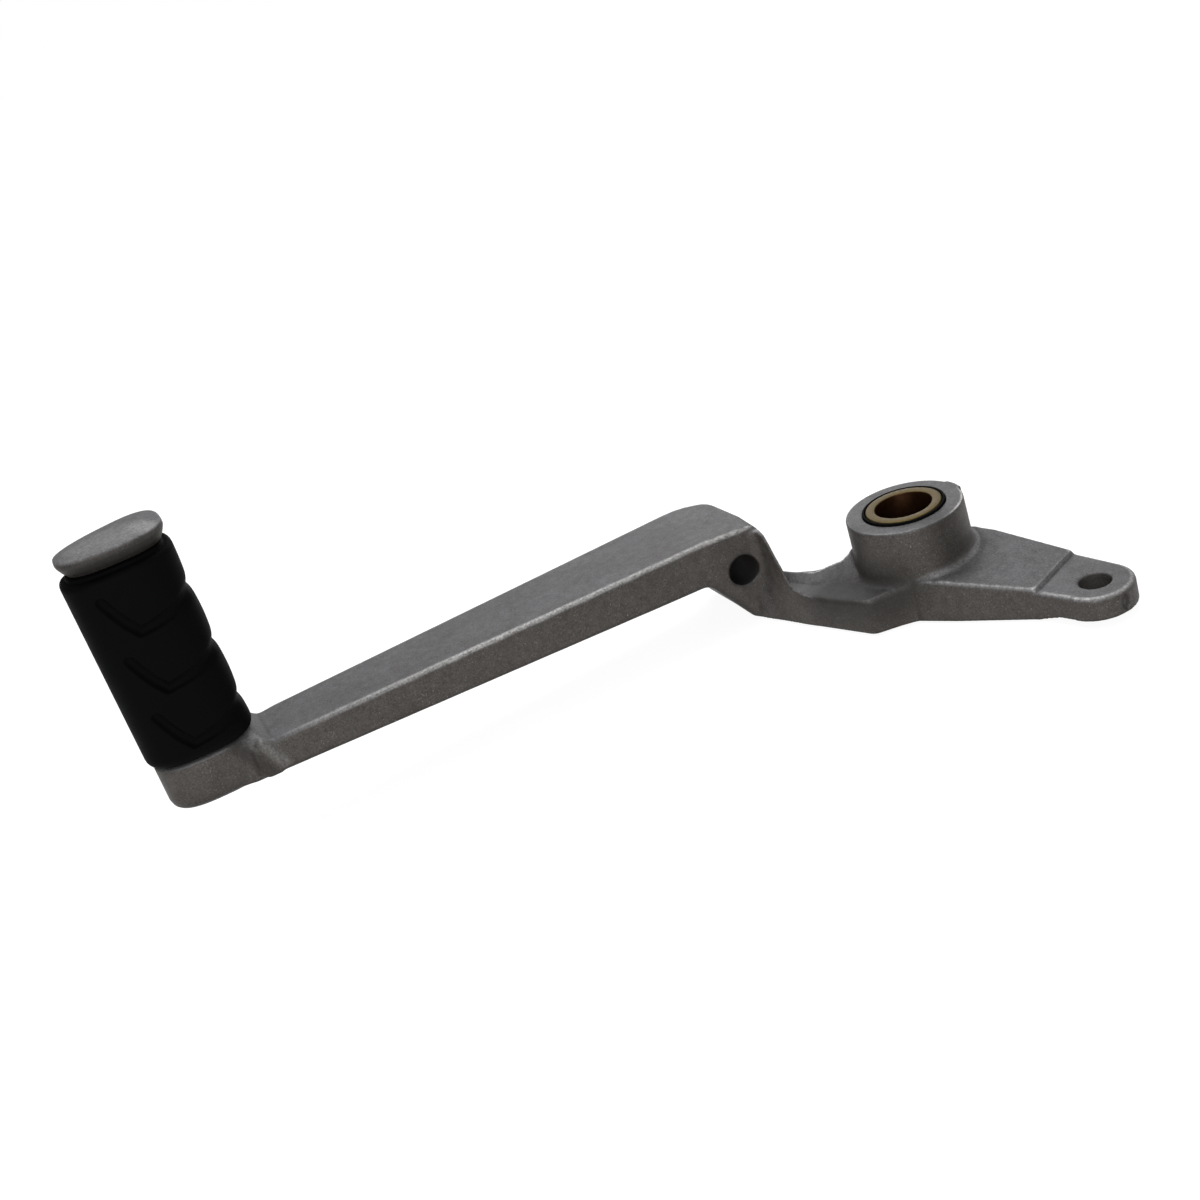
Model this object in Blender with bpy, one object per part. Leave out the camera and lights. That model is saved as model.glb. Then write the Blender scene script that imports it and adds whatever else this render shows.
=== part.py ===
# Motorcycle rear brake pedal: a cast lever with a rubber-covered peg and a bushed pivot boss.
# Sizes are in millimetres and become metres when a mesh is made. The origin is on the pivot
# axis at the boss's inner face. +Z runs along the pivot axis towards the peg's side, the arm
# lies along -X and the peg's tread looks towards -Y.
import math

import bmesh
import bpy
from mathutils import Vector

MM = 0.001
GAP = 0.3
ARC_STEP = math.radians(11.0)

# Pivot boss, bush and seals
BOSS_RADIUS = 15.55
BOSS_HEIGHT = 26.0
BOSS_EDGE = 0.4
BOSS_DRAFT = 0.3
BUSH_OUTER = 10.1
BUSH_INNER = 7.5
BUSH_CHAMFER = 0.4
BUSH_RECESS = 0.1
BUSH_PROUD = 0.65
SEAL_WIDTH = 0.35
SEAL_HEIGHT = 1.4
SEAL_DEPTH = 0.15
SEAL_PROUD = 0.3
SEAL_EDGE = 0.1
WITNESS_PROUD = 0.75
WITNESS_HALF_ANGLE = math.radians(11.0)
FOOT_RADIUS = 18.6
FOOT_FROM = math.radians(112.0)
FOOT_TO = math.radians(-4.0)
ROUND_SEGMENTS = 72
FILLET_MARGIN = 0.3
FILLET_LEAST = 0.2

# Arm and jog, side outline in X and Z, and widths along Y
ARM_TOP = 28.4
ARM_EDGE = 1.3
ARM_OUTLINE = (
    (-177.0, ARM_TOP, 0.0),
    (-29.4, ARM_TOP, 3.6),
    (-29.2, 9.5, 0.0),
    (-27.6, 0.2, 2.0),
    (-37.0, 0.2, 4.0),
    (-47.8, 15.6, 4.5),
    (-58.0, 15.8, 0.0),
    (-177.0, 19.25, 0.0),
)
ARM_NARROW_X = -172.0
ARM_WIDE_X = -30.0
ARM_FRONT_NARROW = 31.0
ARM_FRONT_WIDE = 27.0
ARM_BACK_NARROW = 52.1
ARM_BACK_WIDE = 58.4
ARM_CORNER_START = -45.0
ARM_CORNER_END = -30.0
ARM_CORNER_DROP = 6.6
END_BULGE = 11.0
END_BULGE_START = -40.0
END_BULGE_FULL = -32.0
END_FRONT_SKEW = 0.02
END_BACK_SKEW = 0.1
DROOP = 1.2
DROOP_START = -46.0
DROOP_FULL = -32.0
DROOP_LOW = 20.0
DROOP_HIGH = 24.0
JOG_HOLE_X = -37.3
JOG_HOLE_Z = 16.0
JOG_HOLE_RADIUS = 4.35

# Neck plate between the jog and the boss
PLATE_BOTTOM = 0.15
PLATE_TOP = 9.5
PLATE_TOP_AT_TAIL = 11.5
PLATE_RISE_START = -25.0
PLATE_RISE_END = -10.0
PLATE_EDGE = 1.3
PLATE_RIM = 0.4
PLATE_TUCK = 8.4
PLATE_FRONT = (
    (-36.2, ARM_BACK_WIDE - PLATE_TUCK, 4.0),
    (-31.6, ARM_FRONT_WIDE + 1.0, 0.0),
    (-31.2, ARM_FRONT_WIDE - 7.0, 0.0),
    (-30.3, ARM_FRONT_WIDE - 14.0, 0.0),
    (-21.3, -8.7, 3.2),
    (-14.4, -10.7, 6.0),
    (-6.5, -13.9, 0.0),
    (2.0, -6.0, 0.0),
)
PLATE_BACK = (
    (-12.5, 15.8, 6.0),
    (-19.5, 20.3, 8.0),
    (-26.4, 31.0, 6.0),
    (-26.6, ARM_BACK_WIDE - PLATE_TUCK, 4.0),
)

# Nose that carries the jog's front wall on into the neck plate's wall: the line of its foot,
# the line of its upper wall, and its crest as (y, z) points from the jog down to the plate.
# Y is counted from the arm's front in all three.
NOSE_PROUD = 0.05
NOSE_TURN = 3.0
NOSE_TURN_STEPS = 6
NOSE_BURIED = 1.6
NOSE_BOTTOM = 0.3
NOSE_LEAN_HEIGHT = 16.0
NOSE_FOOT = ((-36.2, 1.0), (-34.9, -2.6), (-33.0, -7.0), (-30.3, -14.0), (-28.0, -19.6))
NOSE_WALL = ((-31.4, 0.2), (-30.9, -14.0))
NOSE_EDGE = 1.2
NOSE_RIGHT = -30.5
NOSE_TIP_WIDTH = 0.5
NOSE_LEVELS = 4
NOSE_CREST = (
    (-1.3, 25.9),
    (-3.7, 24.9),
    (-5.5, 22.7),
    (-7.3, 19.7),
    (-9.6, 16.6),
    (-11.0, 14.0),
    (-12.4, 12.0),
    (-13.4, 10.9),
    (-15.7, 9.7),
    (-18.0, 9.2),
)

# Rib along the back of the neck plate, climbing to the boss
RIB_OUTLINE = (
    (-29.0, 24.4, 0.8),
    (-19.9, 3.6, 1.2),
    (-11.0, 3.2, 0.8),
    (-7.0, 9.4, 0.8),
    (-12.0, 10.7, 0.0),
    (-15.5, 11.6, 3.0),
    (-19.0, 14.8, 6.0),
    (-21.8, 17.1, 6.0),
    (-25.3, 23.9, 6.0),
    (-27.4, 28.6, 0.8),
)
RIB_FOOT = (-23.6, 12.1)
RIB_RISE = (0.915, 0.4035)
RIB_SLOPE = 0.55
RIB_CURVE = 0.014
RIB_EDGE = 0.6
RIB_BREAKS = (1.0, 2.0, 3.5, 5.0, 6.5, 8.0, 10.0, 12.0)

# Tail plate and clevis lug
TAIL_BOTTOM = 0.07
TAIL_RIM = 0.15
TAIL_TOP = 11.7
TAIL_TOP_AT_STEP = 8.8
TAIL_EDGE = 1.2
TAIL_SLOPE_START = 15.0
TAIL_STEP = 38.0
TAIL_STEP_WIDTH = 0.9
LUG_RAMP = 6.5
LUG_TOP = 7.9
LUG_BOTTOM = 1.65
LUG_CENTRE = (21.9, -45.5)
LUG_RADIUS = 9.6
LUG_HOLE_RADIUS = 4.0
LUG_HOLE_CHAMFER = 0.35
TAIL_FRONT = (
    (-11.6, -10.2, 0.0),
    (-3.7, -21.5, 40.0),
    (9.5, -38.4, 12.0),
)
TAIL_FRONT_END = (-9.2, -2.1)
TAIL_BACK = (28.2, -28.0)
TAIL_ROOT = (19.2, 0.5)
TAIL_BURIED = (9.0, 6.0)
LUG_ARC = (math.radians(-97.0), math.radians(75.0))
DIMPLE_RADIUS = 1.4
DIMPLE_STRETCH = 1.8
DIMPLE_DEPTH = 0.8
DIMPLE_ANGLE = math.radians(-83.0)
DIMPLE_HEIGHT = 4.3

# Peg: an egg-shaped section round one centre
PEG_CENTRE = (-186.9, 41.8)
PEG_HALF_LENGTH = 13.5
PEG_HALF_WIDTH = 10.4
PEG_POWER = 2.7
PEG_FRONT_SKEW = 0.04
PEG_BACK_SKEW = 0.25
CAP_BACK_SKEW = 0.34
CAP_SHIFT = 0.5
CAP_NARROWING = 0.2
PEG_POINTS = 56
BASE_BOTTOM = 18.8
BASE_SHRINK = 0.3
BASE_TOP = 31.6
BASE_ROUND = 2.8
ROOT_OUTLINE = (
    (-174.6, 30.5, 0.0),
    (-175.8, 19.2, 1.0),
    (-171.2, 19.1, 0.8),
    (-170.4, 23.0, 0.0),
    (-171.6, 28.8, 1.2),
    (-173.2, 30.5, 0.0),
)
ROOT_FRONT = 30.6
ROOT_BACK = 52.4
WEB_OUTLINE = (
    (-184.0, 30.2, 0.0),
    (-184.0, 19.7, 0.0),
    (-178.0, 18.85, 3.0),
    (-172.0, 18.8, 0.0),
    (-172.6, 30.4, 0.0),
)
WEB_FRONT = 32.3
WEB_BACK = 51.0
CORE_HALF_LENGTH = 9.2
CORE_HALF_WIDTH = 6.2
RUBBER_GROWTH = 0.8
RUBBER_EDGE = 1.6
RUBBER_LOW_EDGE = 2.8
RUBBER_LIP = 0.9
RUBBER_LIP_PULL = 0.5
FLANGE_TOP = 91.0
FLANGE_BOTTOM = FLANGE_TOP - 2.8
FLANGE_ROUND = 0.8
FLANGE_DOME = 1.3
FLANGE_GROWTH = 0.2
RUBBER_TOP = FLANGE_TOP - 5.0
NECK_SHRINK = 1.7
NECK_RISE = 0.5
GROOVE_RADIUS = 1.5
GROOVE_END_RADIUS = 2.8
GROOVE_DEPTH = 1.2
GROOVE_PITCH = 16.15
GROOVE_RISE = 8.5
GROOVE_TOP_MARGIN = 8.0
GROOVE_DROP = 3.5
GROOVE_VERTEX = -1
GROOVE_LEFT_STEPS = 3
GROOVE_RIGHT_STEPS = 11
GROOVE_END = 16
GROOVE_LEFT_RISE = 10.1
GROOVE_PHASE = 0.53
GROOVE_FADE = 1.0
GROOVE_SIDES = 8


def clear_scene():
    for item in list(bpy.data.objects):
        bpy.data.objects.remove(item, do_unlink=True)


def rounded_outline(corners):
    """Turn (x, y, radius) corners into a closed list of points with arcs at the corners."""
    points = []
    count = len(corners)
    for index, (x, y, radius) in enumerate(corners):
        here = Vector((x, y))
        if radius <= 0.0:
            points.append(here)
            continue
        before = Vector(corners[index - 1][:2])
        after = Vector(corners[(index + 1) % count][:2])
        to_before = (before - here).normalized()
        to_after = (after - here).normalized()
        half = math.acos(max(-1.0, min(1.0, to_before.dot(to_after)))) / 2.0
        reach = radius / math.tan(half)
        limit = 0.49 * min((before - here).length, (after - here).length)
        if reach > limit:
            reach = limit
            radius = reach * math.tan(half)
        centre = here + (to_before + to_after).normalized() * (radius / math.sin(half))
        start = here + to_before * reach - centre
        turn = start.angle_signed(here + to_after * reach - centre)
        steps = max(1, math.ceil(abs(turn) / ARC_STEP))
        for step in range(steps + 1):
            angle = -turn * step / steps
            cosine, sine = math.cos(angle), math.sin(angle)
            points.append(centre + Vector((
                start.x * cosine - start.y * sine,
                start.x * sine + start.y * cosine,
            )))
    return points


def arc_points(centre, radius, first, last):
    steps = max(2, math.ceil(abs(last - first) / ARC_STEP))
    return [
        Vector((
            centre[0] + radius * math.cos(first + (last - first) * step / steps),
            centre[1] + radius * math.sin(first + (last - first) * step / steps),
        ))
        for step in range(steps + 1)
    ]


def inset(points, distance):
    """Move a closed outline inwards by the given distance."""
    count = len(points)
    area = sum(
        points[i].x * points[(i + 1) % count].y - points[(i + 1) % count].x * points[i].y
        for i in range(count)
    )
    side = 1.0 if area > 0.0 else -1.0
    moved = []
    for index, here in enumerate(points):
        into = (here - points[index - 1]).normalized()
        out = (points[(index + 1) % count] - here).normalized()
        normal_in = Vector((-into.y, into.x)) * side
        normal_out = Vector((-out.y, out.x)) * side
        bisector = (normal_in + normal_out).normalized()
        stretch = distance / max(0.35, bisector.dot(normal_in))
        moved.append(here + bisector * stretch)
    return moved


def egg_outline(half_length, half_width, back_skew=PEG_BACK_SKEW):
    """Superellipse round the peg's centre, a little wider towards the arm."""
    points = []
    for index in range(PEG_POINTS):
        angle = math.tau * index / PEG_POINTS
        cosine, sine = math.cos(angle), math.sin(angle)
        along = math.copysign(abs(cosine) ** (2.0 / PEG_POWER), cosine)
        across = math.copysign(abs(sine) ** (2.0 / PEG_POWER), sine)
        skew = PEG_FRONT_SKEW if across < 0.0 else back_skew
        width = half_width * (1.0 + skew * along)
        points.append(Vector((
            PEG_CENTRE[0] + half_length * along,
            PEG_CENTRE[1] + width * across,
        )))
    return points


def round_levels(low, high, low_round, high_round, steps=3):
    """Heights and insets of the loops of a block with rounded rims."""
    quarter = [math.pi / 2.0 * step / steps for step in range(steps + 1)]
    levels = [(low, 0.0)]
    if low_round > 0.0:
        levels = [
            (low + low_round * (1.0 - math.cos(angle)), low_round * (1.0 - math.sin(angle)))
            for angle in quarter
        ]
    if high_round > 0.0:
        levels += [
            (high - high_round * (1.0 - math.sin(angle)), high_round * (1.0 - math.cos(angle)))
            for angle in quarter
        ]
    else:
        levels.append((high, 0.0))
    return levels


def mesh_from_loops(name, loops, closed=False):
    """Skin equal loops of (x, y, z) points; closed joins the last loop to the first."""
    bm = bmesh.new()
    rings = [[bm.verts.new(Vector(point) * MM) for point in loop] for loop in loops]
    count = len(rings[0])
    pairs = list(zip(rings, rings[1:]))
    if closed:
        pairs.append((rings[-1], rings[0]))
    for lower, upper in pairs:
        for i in range(count):
            j = (i + 1) % count
            bm.faces.new((lower[i], lower[j], upper[j], upper[i]))
    if not closed:
        bm.faces.new(list(reversed(rings[0])))
        bm.faces.new(rings[-1])
    return finish_mesh(name, bm)


def finish_mesh(name, bm):
    bmesh.ops.recalc_face_normals(bm, faces=bm.faces)
    mesh = bpy.data.meshes.new(name)
    bm.to_mesh(mesh)
    bm.free()
    item = bpy.data.objects.new(name, mesh)
    bpy.context.scene.collection.objects.link(item)
    return item


def block(name, outline, low, high, low_round=0.0, high_round=0.0):
    """Upright block over an outline, with rounded rims."""
    loops = []
    for height, pull in round_levels(low, high, low_round, high_round):
        ring = inset(outline, pull) if pull > 1e-6 else outline
        loops.append([(point.x, point.y, height) for point in ring])
    return mesh_from_loops(name, loops)


def split_and_move(item, normal, distances, move):
    """Cut an object's mesh at planes square to a direction, then move every vertex."""
    bm = bmesh.new()
    bm.from_mesh(item.data)
    for distance in distances:
        bmesh.ops.bisect_plane(
            bm,
            geom=list(bm.verts) + list(bm.edges) + list(bm.faces),
            plane_co=Vector(normal) * distance * MM,
            plane_no=Vector(normal),
            dist=1e-8,
        )
    for vertex in bm.verts:
        vertex.co = Vector(move(vertex.co / MM)) * MM
    bmesh.ops.recalc_face_normals(bm, faces=bm.faces)
    bm.to_mesh(item.data)
    bm.free()


def revolve(name, profile, centre=(0.0, 0.0), segments=ROUND_SEGMENTS):
    """Turn a closed (radius, z) profile into a ring or, from radius 0, a solid of revolution."""
    loops = []
    for step in range(segments):
        angle = math.tau * step / segments
        loops.append([
            (centre[0] + radius * math.cos(angle), centre[1] + radius * math.sin(angle), height)
            for radius, height in profile
        ])
    return mesh_from_loops(name, loops, closed=True)


def round_bar(name, centre, levels, segments=ROUND_SEGMENTS, first=0.0):
    """Solid round bar through (z, radius) levels; first turns it by a share of one segment."""
    angles = [math.tau * (step + first) / segments for step in range(segments)]
    loops = [
        [
            (
                centre[0] + radius * math.cos(angle),
                centre[1] + radius * math.sin(angle),
                height,
            )
            for angle in angles
        ]
        for height, radius in levels
    ]
    return mesh_from_loops(name, loops)


def lay_on_side(item, origin, direction, stretch=1.0):
    """Turn an upright helper so that its +Z points along a level direction from an origin."""
    along = Vector(direction).normalized()
    across = Vector((0.0, 0.0, 1.0)).cross(along)
    for vertex in item.data.vertices:
        x, y, z = vertex.co / MM
        upward = Vector((0.0, 0.0, y * stretch))
        vertex.co = (Vector(origin) + across * x + upward + along * z) * MM


def combine(base, other, operation):
    """Leave an exact boolean on the base and hide the helper it uses."""
    modifier = base.modifiers.new(other.name, "BOOLEAN")
    modifier.operation = operation
    modifier.solver = "EXACT"
    modifier.object = other
    other.hide_render = True
    other.display_type = "WIRE"


def plate_height(x, y):
    """Top of the neck plate over a point: it rises a little towards the tail."""
    share = (x - PLATE_RISE_START) / (PLATE_RISE_END - PLATE_RISE_START)
    return PLATE_TOP + (PLATE_TOP_AT_TAIL - PLATE_TOP) * max(0.0, min(1.0, share))


def tail_height(x, y):
    """Top of the tail plate over a point: level by the boss, then falling to the lug."""
    along = tail_distance(x, y)
    slope = (TAIL_TOP - TAIL_TOP_AT_STEP) / (TAIL_STEP - TAIL_SLOPE_START)
    if along <= TAIL_STEP:
        return TAIL_TOP - slope * max(0.0, along - TAIL_SLOPE_START)
    share = min(1.0, (along - TAIL_STEP) / TAIL_STEP_WIDTH)
    return TAIL_TOP_AT_STEP + (LUG_TOP - TAIL_TOP_AT_STEP) * share


def tail_distance(x, y):
    reach = math.hypot(*LUG_CENTRE)
    return (x * LUG_CENTRE[0] + y * LUG_CENTRE[1]) / reach


def rib_distance(x, y):
    return (x - RIB_FOOT[0]) * RIB_RISE[0] + (y - RIB_FOOT[1]) * RIB_RISE[1]


def rib_height(x, y):
    """Top of the rib over a point: a slope that grows steeper towards the boss."""
    run = rib_distance(x, y)
    return PLATE_TOP - 0.05 + RIB_SLOPE * run + RIB_CURVE * run * abs(run)


def tail_outline():
    """Tail and lug seen from above."""
    towards = math.atan2(LUG_CENTRE[1], LUG_CENTRE[0])
    front_end = Vector(LUG_CENTRE) + Vector(TAIL_FRONT_END)
    outline = rounded_outline(TAIL_FRONT + ((front_end.x, front_end.y, 0.0),))
    outline += arc_points(LUG_CENTRE, LUG_RADIUS, towards + LUG_ARC[0], towards + LUG_ARC[1])
    outline += [Vector(TAIL_BACK), Vector(TAIL_ROOT), Vector(TAIL_BURIED)]
    return outline


def make_tail():
    tail = block("tail_body", tail_outline(), TAIL_BOTTOM, TAIL_TOP, TAIL_RIM, TAIL_EDGE)
    reach = math.hypot(*LUG_CENTRE)
    direction = (LUG_CENTRE[0] / reach, LUG_CENTRE[1] / reach, 0.0)
    breaks = (TAIL_SLOPE_START, TAIL_STEP, TAIL_STEP + TAIL_STEP_WIDTH, TAIL_STEP + LUG_RAMP)

    def move(point):
        top = point.z > TAIL_TOP / 2.0
        if top:
            return (point.x, point.y, point.z + tail_height(point.x, point.y) - TAIL_TOP)
        along = tail_distance(point.x, point.y)
        share = max(0.0, min(1.0, (along - TAIL_STEP) / LUG_RAMP))
        return (point.x, point.y, point.z + (LUG_BOTTOM - TAIL_BOTTOM) * share)

    split_and_move(tail, direction, breaks, move)
    return tail


def plate_outline():
    """Neck plate seen from above, with its arc round the boss's foot."""
    shoulder = [(point.x, point.y, 0.0) for point in arc_points(
        (0.0, 0.0), FOOT_RADIUS, FOOT_TO, FOOT_FROM
    )]
    return rounded_outline(PLATE_FRONT + tuple(shoulder) + PLATE_BACK)


def make_plate():
    plate = block("plate_body", plate_outline(), PLATE_BOTTOM, PLATE_TOP, PLATE_RIM, PLATE_EDGE)

    def move(point):
        if point.z < PLATE_TOP / 2.0:
            return point
        return (point.x, point.y, point.z + plate_height(point.x, point.y) - PLATE_TOP)

    split_and_move(plate, (1.0, 0.0, 0.0), (PLATE_RISE_START, PLATE_RISE_END), move)
    return plate


def line_x(points, y):
    """X on a run of (x, y) points that falls in y, carried on past its last point."""
    for (near_x, near_y), (far_x, far_y) in zip(points, points[1:]):
        if y >= far_y:
            break
    return near_x + (far_x - near_x) * (near_y - y) / (near_y - far_y)


def crest_height(y):
    """Top of the nose at a depth."""
    if y >= NOSE_CREST[0][0] + ARM_FRONT_WIDE:
        return NOSE_CREST[0][1]
    for (high_y, high_z), (low_y, low_z) in zip(NOSE_CREST, NOSE_CREST[1:]):
        if y >= low_y + ARM_FRONT_WIDE:
            share = (high_y + ARM_FRONT_WIDE - y) / (high_y - low_y)
            return high_z + (low_z - high_z) * share
    return NOSE_CREST[-1][1]


def make_nose():
    """Skin the nose from upright slices square to Y, with a hollow turn into the jog's wall."""
    foot_line = [(x, y + ARM_FRONT_WIDE) for x, y in NOSE_FOOT]
    wall_line = [(x, y + ARM_FRONT_WIDE) for x, y in NOSE_WALL]
    turn_end = ARM_FRONT_WIDE + 0.15
    turn_start = turn_end - NOSE_TURN
    depths = [turn_end + NOSE_BURIED]
    for step in range(NOSE_TURN_STEPS, -1, -1):
        bend = math.pi / 2.0 * step / NOSE_TURN_STEPS
        depths.append(turn_start + NOSE_TURN * math.sin(bend))
    depths += [y + ARM_FRONT_WIDE for y, z in NOSE_CREST[1:]]
    loops = []
    for y in depths:
        into = max(0.0, min(NOSE_TURN, y - turn_start))
        turned = NOSE_TURN - math.sqrt(NOSE_TURN ** 2 - into ** 2)
        foot = line_x(foot_line, y) - NOSE_PROUD
        wall = max(foot, line_x(wall_line, y) - NOSE_PROUD)
        wall -= turned
        top = crest_height(y)
        right = max(NOSE_RIGHT, wall + NOSE_TIP_WIDTH)
        edge = min(NOSE_EDGE, 0.45 * (right - wall))
        loop = []
        for level in range(NOSE_LEVELS + 1):
            height = NOSE_BOTTOM + (top - edge - NOSE_BOTTOM) * level / NOSE_LEVELS
            loop.append((foot + (wall - foot) * min(1.0, height / NOSE_LEAN_HEIGHT), y, height))
        left = loop[-1][0]
        loop.append((left + edge * 0.3, y, top - edge * 0.3))
        loop.append((left + edge, y, top))
        loop.append((right, y, top))
        loop.append((right, y, NOSE_BOTTOM))
        loops.append(loop)
    return mesh_from_loops("nose_body", loops)


def make_rib():
    outline = rounded_outline(RIB_OUTLINE)
    rib = block("rib_body", outline, PLATE_TOP - 3.0, PLATE_TOP + 6.0, 0.0, RIB_EDGE)
    offset = RIB_FOOT[0] * RIB_RISE[0] + RIB_FOOT[1] * RIB_RISE[1]
    direction = Vector((RIB_RISE[0], RIB_RISE[1], 0.0)).normalized()
    breaks = [offset + run for run in RIB_BREAKS]

    def move(point):
        if point.z < PLATE_TOP:
            return point
        return (point.x, point.y, point.z + rib_height(point.x, point.y) - PLATE_TOP - 6.0)

    split_and_move(rib, direction, breaks, move)
    return rib


def outline_reach(outline, angle):
    """Distance from the pivot axis to an outline along a direction."""
    cosine, sine = math.cos(angle), math.sin(angle)
    reach = 0.0
    for start, end in zip(outline, outline[1:] + outline[:1]):
        side_start = start.y * cosine - start.x * sine
        side_end = end.y * cosine - end.x * sine
        if side_start * side_end < 0.0:
            point = start.lerp(end, side_start / (side_start - side_end))
            reach = max(reach, point.x * cosine + point.y * sine)
    return reach


def make_foot_fillet(name, first, last, size_at, height_at, outlines):
    """Hollow fillet from the boss to the face it stands on, kept inside that face's outline."""
    start = BOSS_RADIUS + BOSS_DRAFT / 2.0 - 0.05
    steps = max(2, math.ceil(abs(last - first) / math.radians(5.0)))
    loops = []
    for step in range(steps + 1):
        share = step / steps
        angle = first + (last - first) * share
        room = max(outline_reach(outline, angle) for outline in outlines) - start
        size = max(FILLET_LEAST, min(size_at(share), room - FILLET_MARGIN))
        cosine, sine = math.cos(angle), math.sin(angle)
        loop = [(BOSS_RADIUS - 2.0, None), (BOSS_RADIUS - 2.0, size)]
        for turn in range(6):
            bend = math.pi / 2.0 * turn / 5
            radius = start + size * (1.0 - math.cos(bend))
            loop.append((radius, size * (1.0 - math.sin(bend))))
        loop.append((start + size, None))
        ring = []
        for radius, rise in loop:
            x, y = radius * cosine, radius * sine
            base = height_at(x, y)
            ring.append((x, y, base - 2.0 if rise is None else base - 0.06 + rise))
        loops.append(ring)
    return mesh_from_loops(name, loops)


def arm_droop(x, y, z):
    """How far the jog's top sinks towards its front right corner."""
    along = (x - DROOP_START) / (DROOP_FULL - DROOP_START)
    back = (y - ARM_FRONT_WIDE) / (ARM_BACK_WIDE - ARM_FRONT_WIDE)
    upward = (z - DROOP_LOW) / (DROOP_HIGH - DROOP_LOW)
    share = max(0.0, min(1.0, along)) * max(0.0, min(1.0, upward))
    return DROOP * share * max(0.0, min(1.0, 1.0 - back))


def make_arm():
    """Arm and jog drawn from the side, with a width that tapers towards the peg."""
    outline = rounded_outline(ARM_OUTLINE)
    arm = block("arm_body", outline, ARM_FRONT_WIDE, ARM_BACK_WIDE, ARM_EDGE, ARM_EDGE)
    split_and_move(arm, (0.0, 0.0, 1.0), (ARM_FRONT_WIDE + END_BULGE,), lambda point: point)

    def move(point):
        span = ARM_WIDE_X - ARM_NARROW_X
        share = max(0.0, min(1.5, (ARM_WIDE_X - point.x) / span))
        depth = point.z
        x = point.x
        corner = (point.x - ARM_CORNER_START) / (ARM_CORNER_END - ARM_CORNER_START)
        if depth < (ARM_FRONT_WIDE + ARM_BACK_WIDE) / 2.0:
            depth += (ARM_FRONT_NARROW - ARM_FRONT_WIDE) * share
        else:
            depth += (ARM_BACK_NARROW - ARM_BACK_WIDE) * share
            depth -= ARM_CORNER_DROP * max(0.0, corner) ** 2
        near_end = (point.x - END_BULGE_START) / (END_BULGE_FULL - END_BULGE_START)
        off = depth - ARM_FRONT_WIDE - END_BULGE
        skew = END_BACK_SKEW if off > 0.0 else END_FRONT_SKEW
        x -= skew * abs(off) * max(0.0, min(1.0, near_end))
        return (x, depth, point.y - arm_droop(point.x, depth, point.y))

    corner_run = ARM_CORNER_END - ARM_CORNER_START
    cuts = [ARM_CORNER_START + corner_run * step / 4 for step in range(5)]
    split_and_move(arm, (1.0, 0.0, 0.0), cuts, move)
    return arm


def make_peg_metal():
    """Base block, core, neck and end flange of the peg as upright blocks."""
    full = egg_outline(PEG_HALF_LENGTH - BASE_SHRINK, PEG_HALF_WIDTH - BASE_SHRINK)
    base = block("peg_base", full, BASE_BOTTOM, BASE_TOP, BASE_ROUND, 0.5)
    core_outline = egg_outline(CORE_HALF_LENGTH, CORE_HALF_WIDTH)
    core = block("peg_core", core_outline, BASE_TOP - 2.0, RUBBER_TOP + GAP + 1.0)
    neck = RUBBER_TOP + GAP
    levels = (
        (neck, NECK_SHRINK),
        (neck + NECK_RISE, NECK_SHRINK - 0.1),
        (FLANGE_BOTTOM - 0.9, NECK_SHRINK * 0.62),
        (FLANGE_BOTTOM, 0.55),
        (FLANGE_BOTTOM + 1.1, 0.0),
        (FLANGE_TOP - FLANGE_ROUND, 0.0),
        (FLANGE_TOP - FLANGE_ROUND * 0.3, FLANGE_ROUND * 0.3),
        (FLANGE_TOP, FLANGE_ROUND),
        (FLANGE_TOP + FLANGE_DOME * 0.5, PEG_HALF_WIDTH * 0.3),
        (FLANGE_TOP + FLANGE_DOME * 0.87, PEG_HALF_WIDTH * 0.58),
        (FLANGE_TOP + FLANGE_DOME, PEG_HALF_WIDTH * 0.82),
    )
    loops = []
    for height, pull in levels:
        half_width = PEG_HALF_WIDTH - CAP_NARROWING - pull
        ring = egg_outline(PEG_HALF_LENGTH + FLANGE_GROWTH - pull, half_width, CAP_BACK_SKEW)
        loops.append([(point.x + CAP_SHIFT, point.y, height) for point in ring])
    flange = mesh_from_loops("peg_flange", loops)
    root = block("peg_root", rounded_outline(ROOT_OUTLINE), ROOT_FRONT, ROOT_BACK, 0.7, 0.7)
    split_and_move(root, (1.0, 0.0, 0.0), (), lambda point: (point.x, point.z, point.y))
    web = block("peg_web", rounded_outline(WEB_OUTLINE), WEB_FRONT, WEB_BACK, 0.7, 0.7)
    split_and_move(web, (1.0, 0.0, 0.0), (), lambda point: (point.x, point.z, point.y))
    return base, web, root, core, flange


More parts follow.
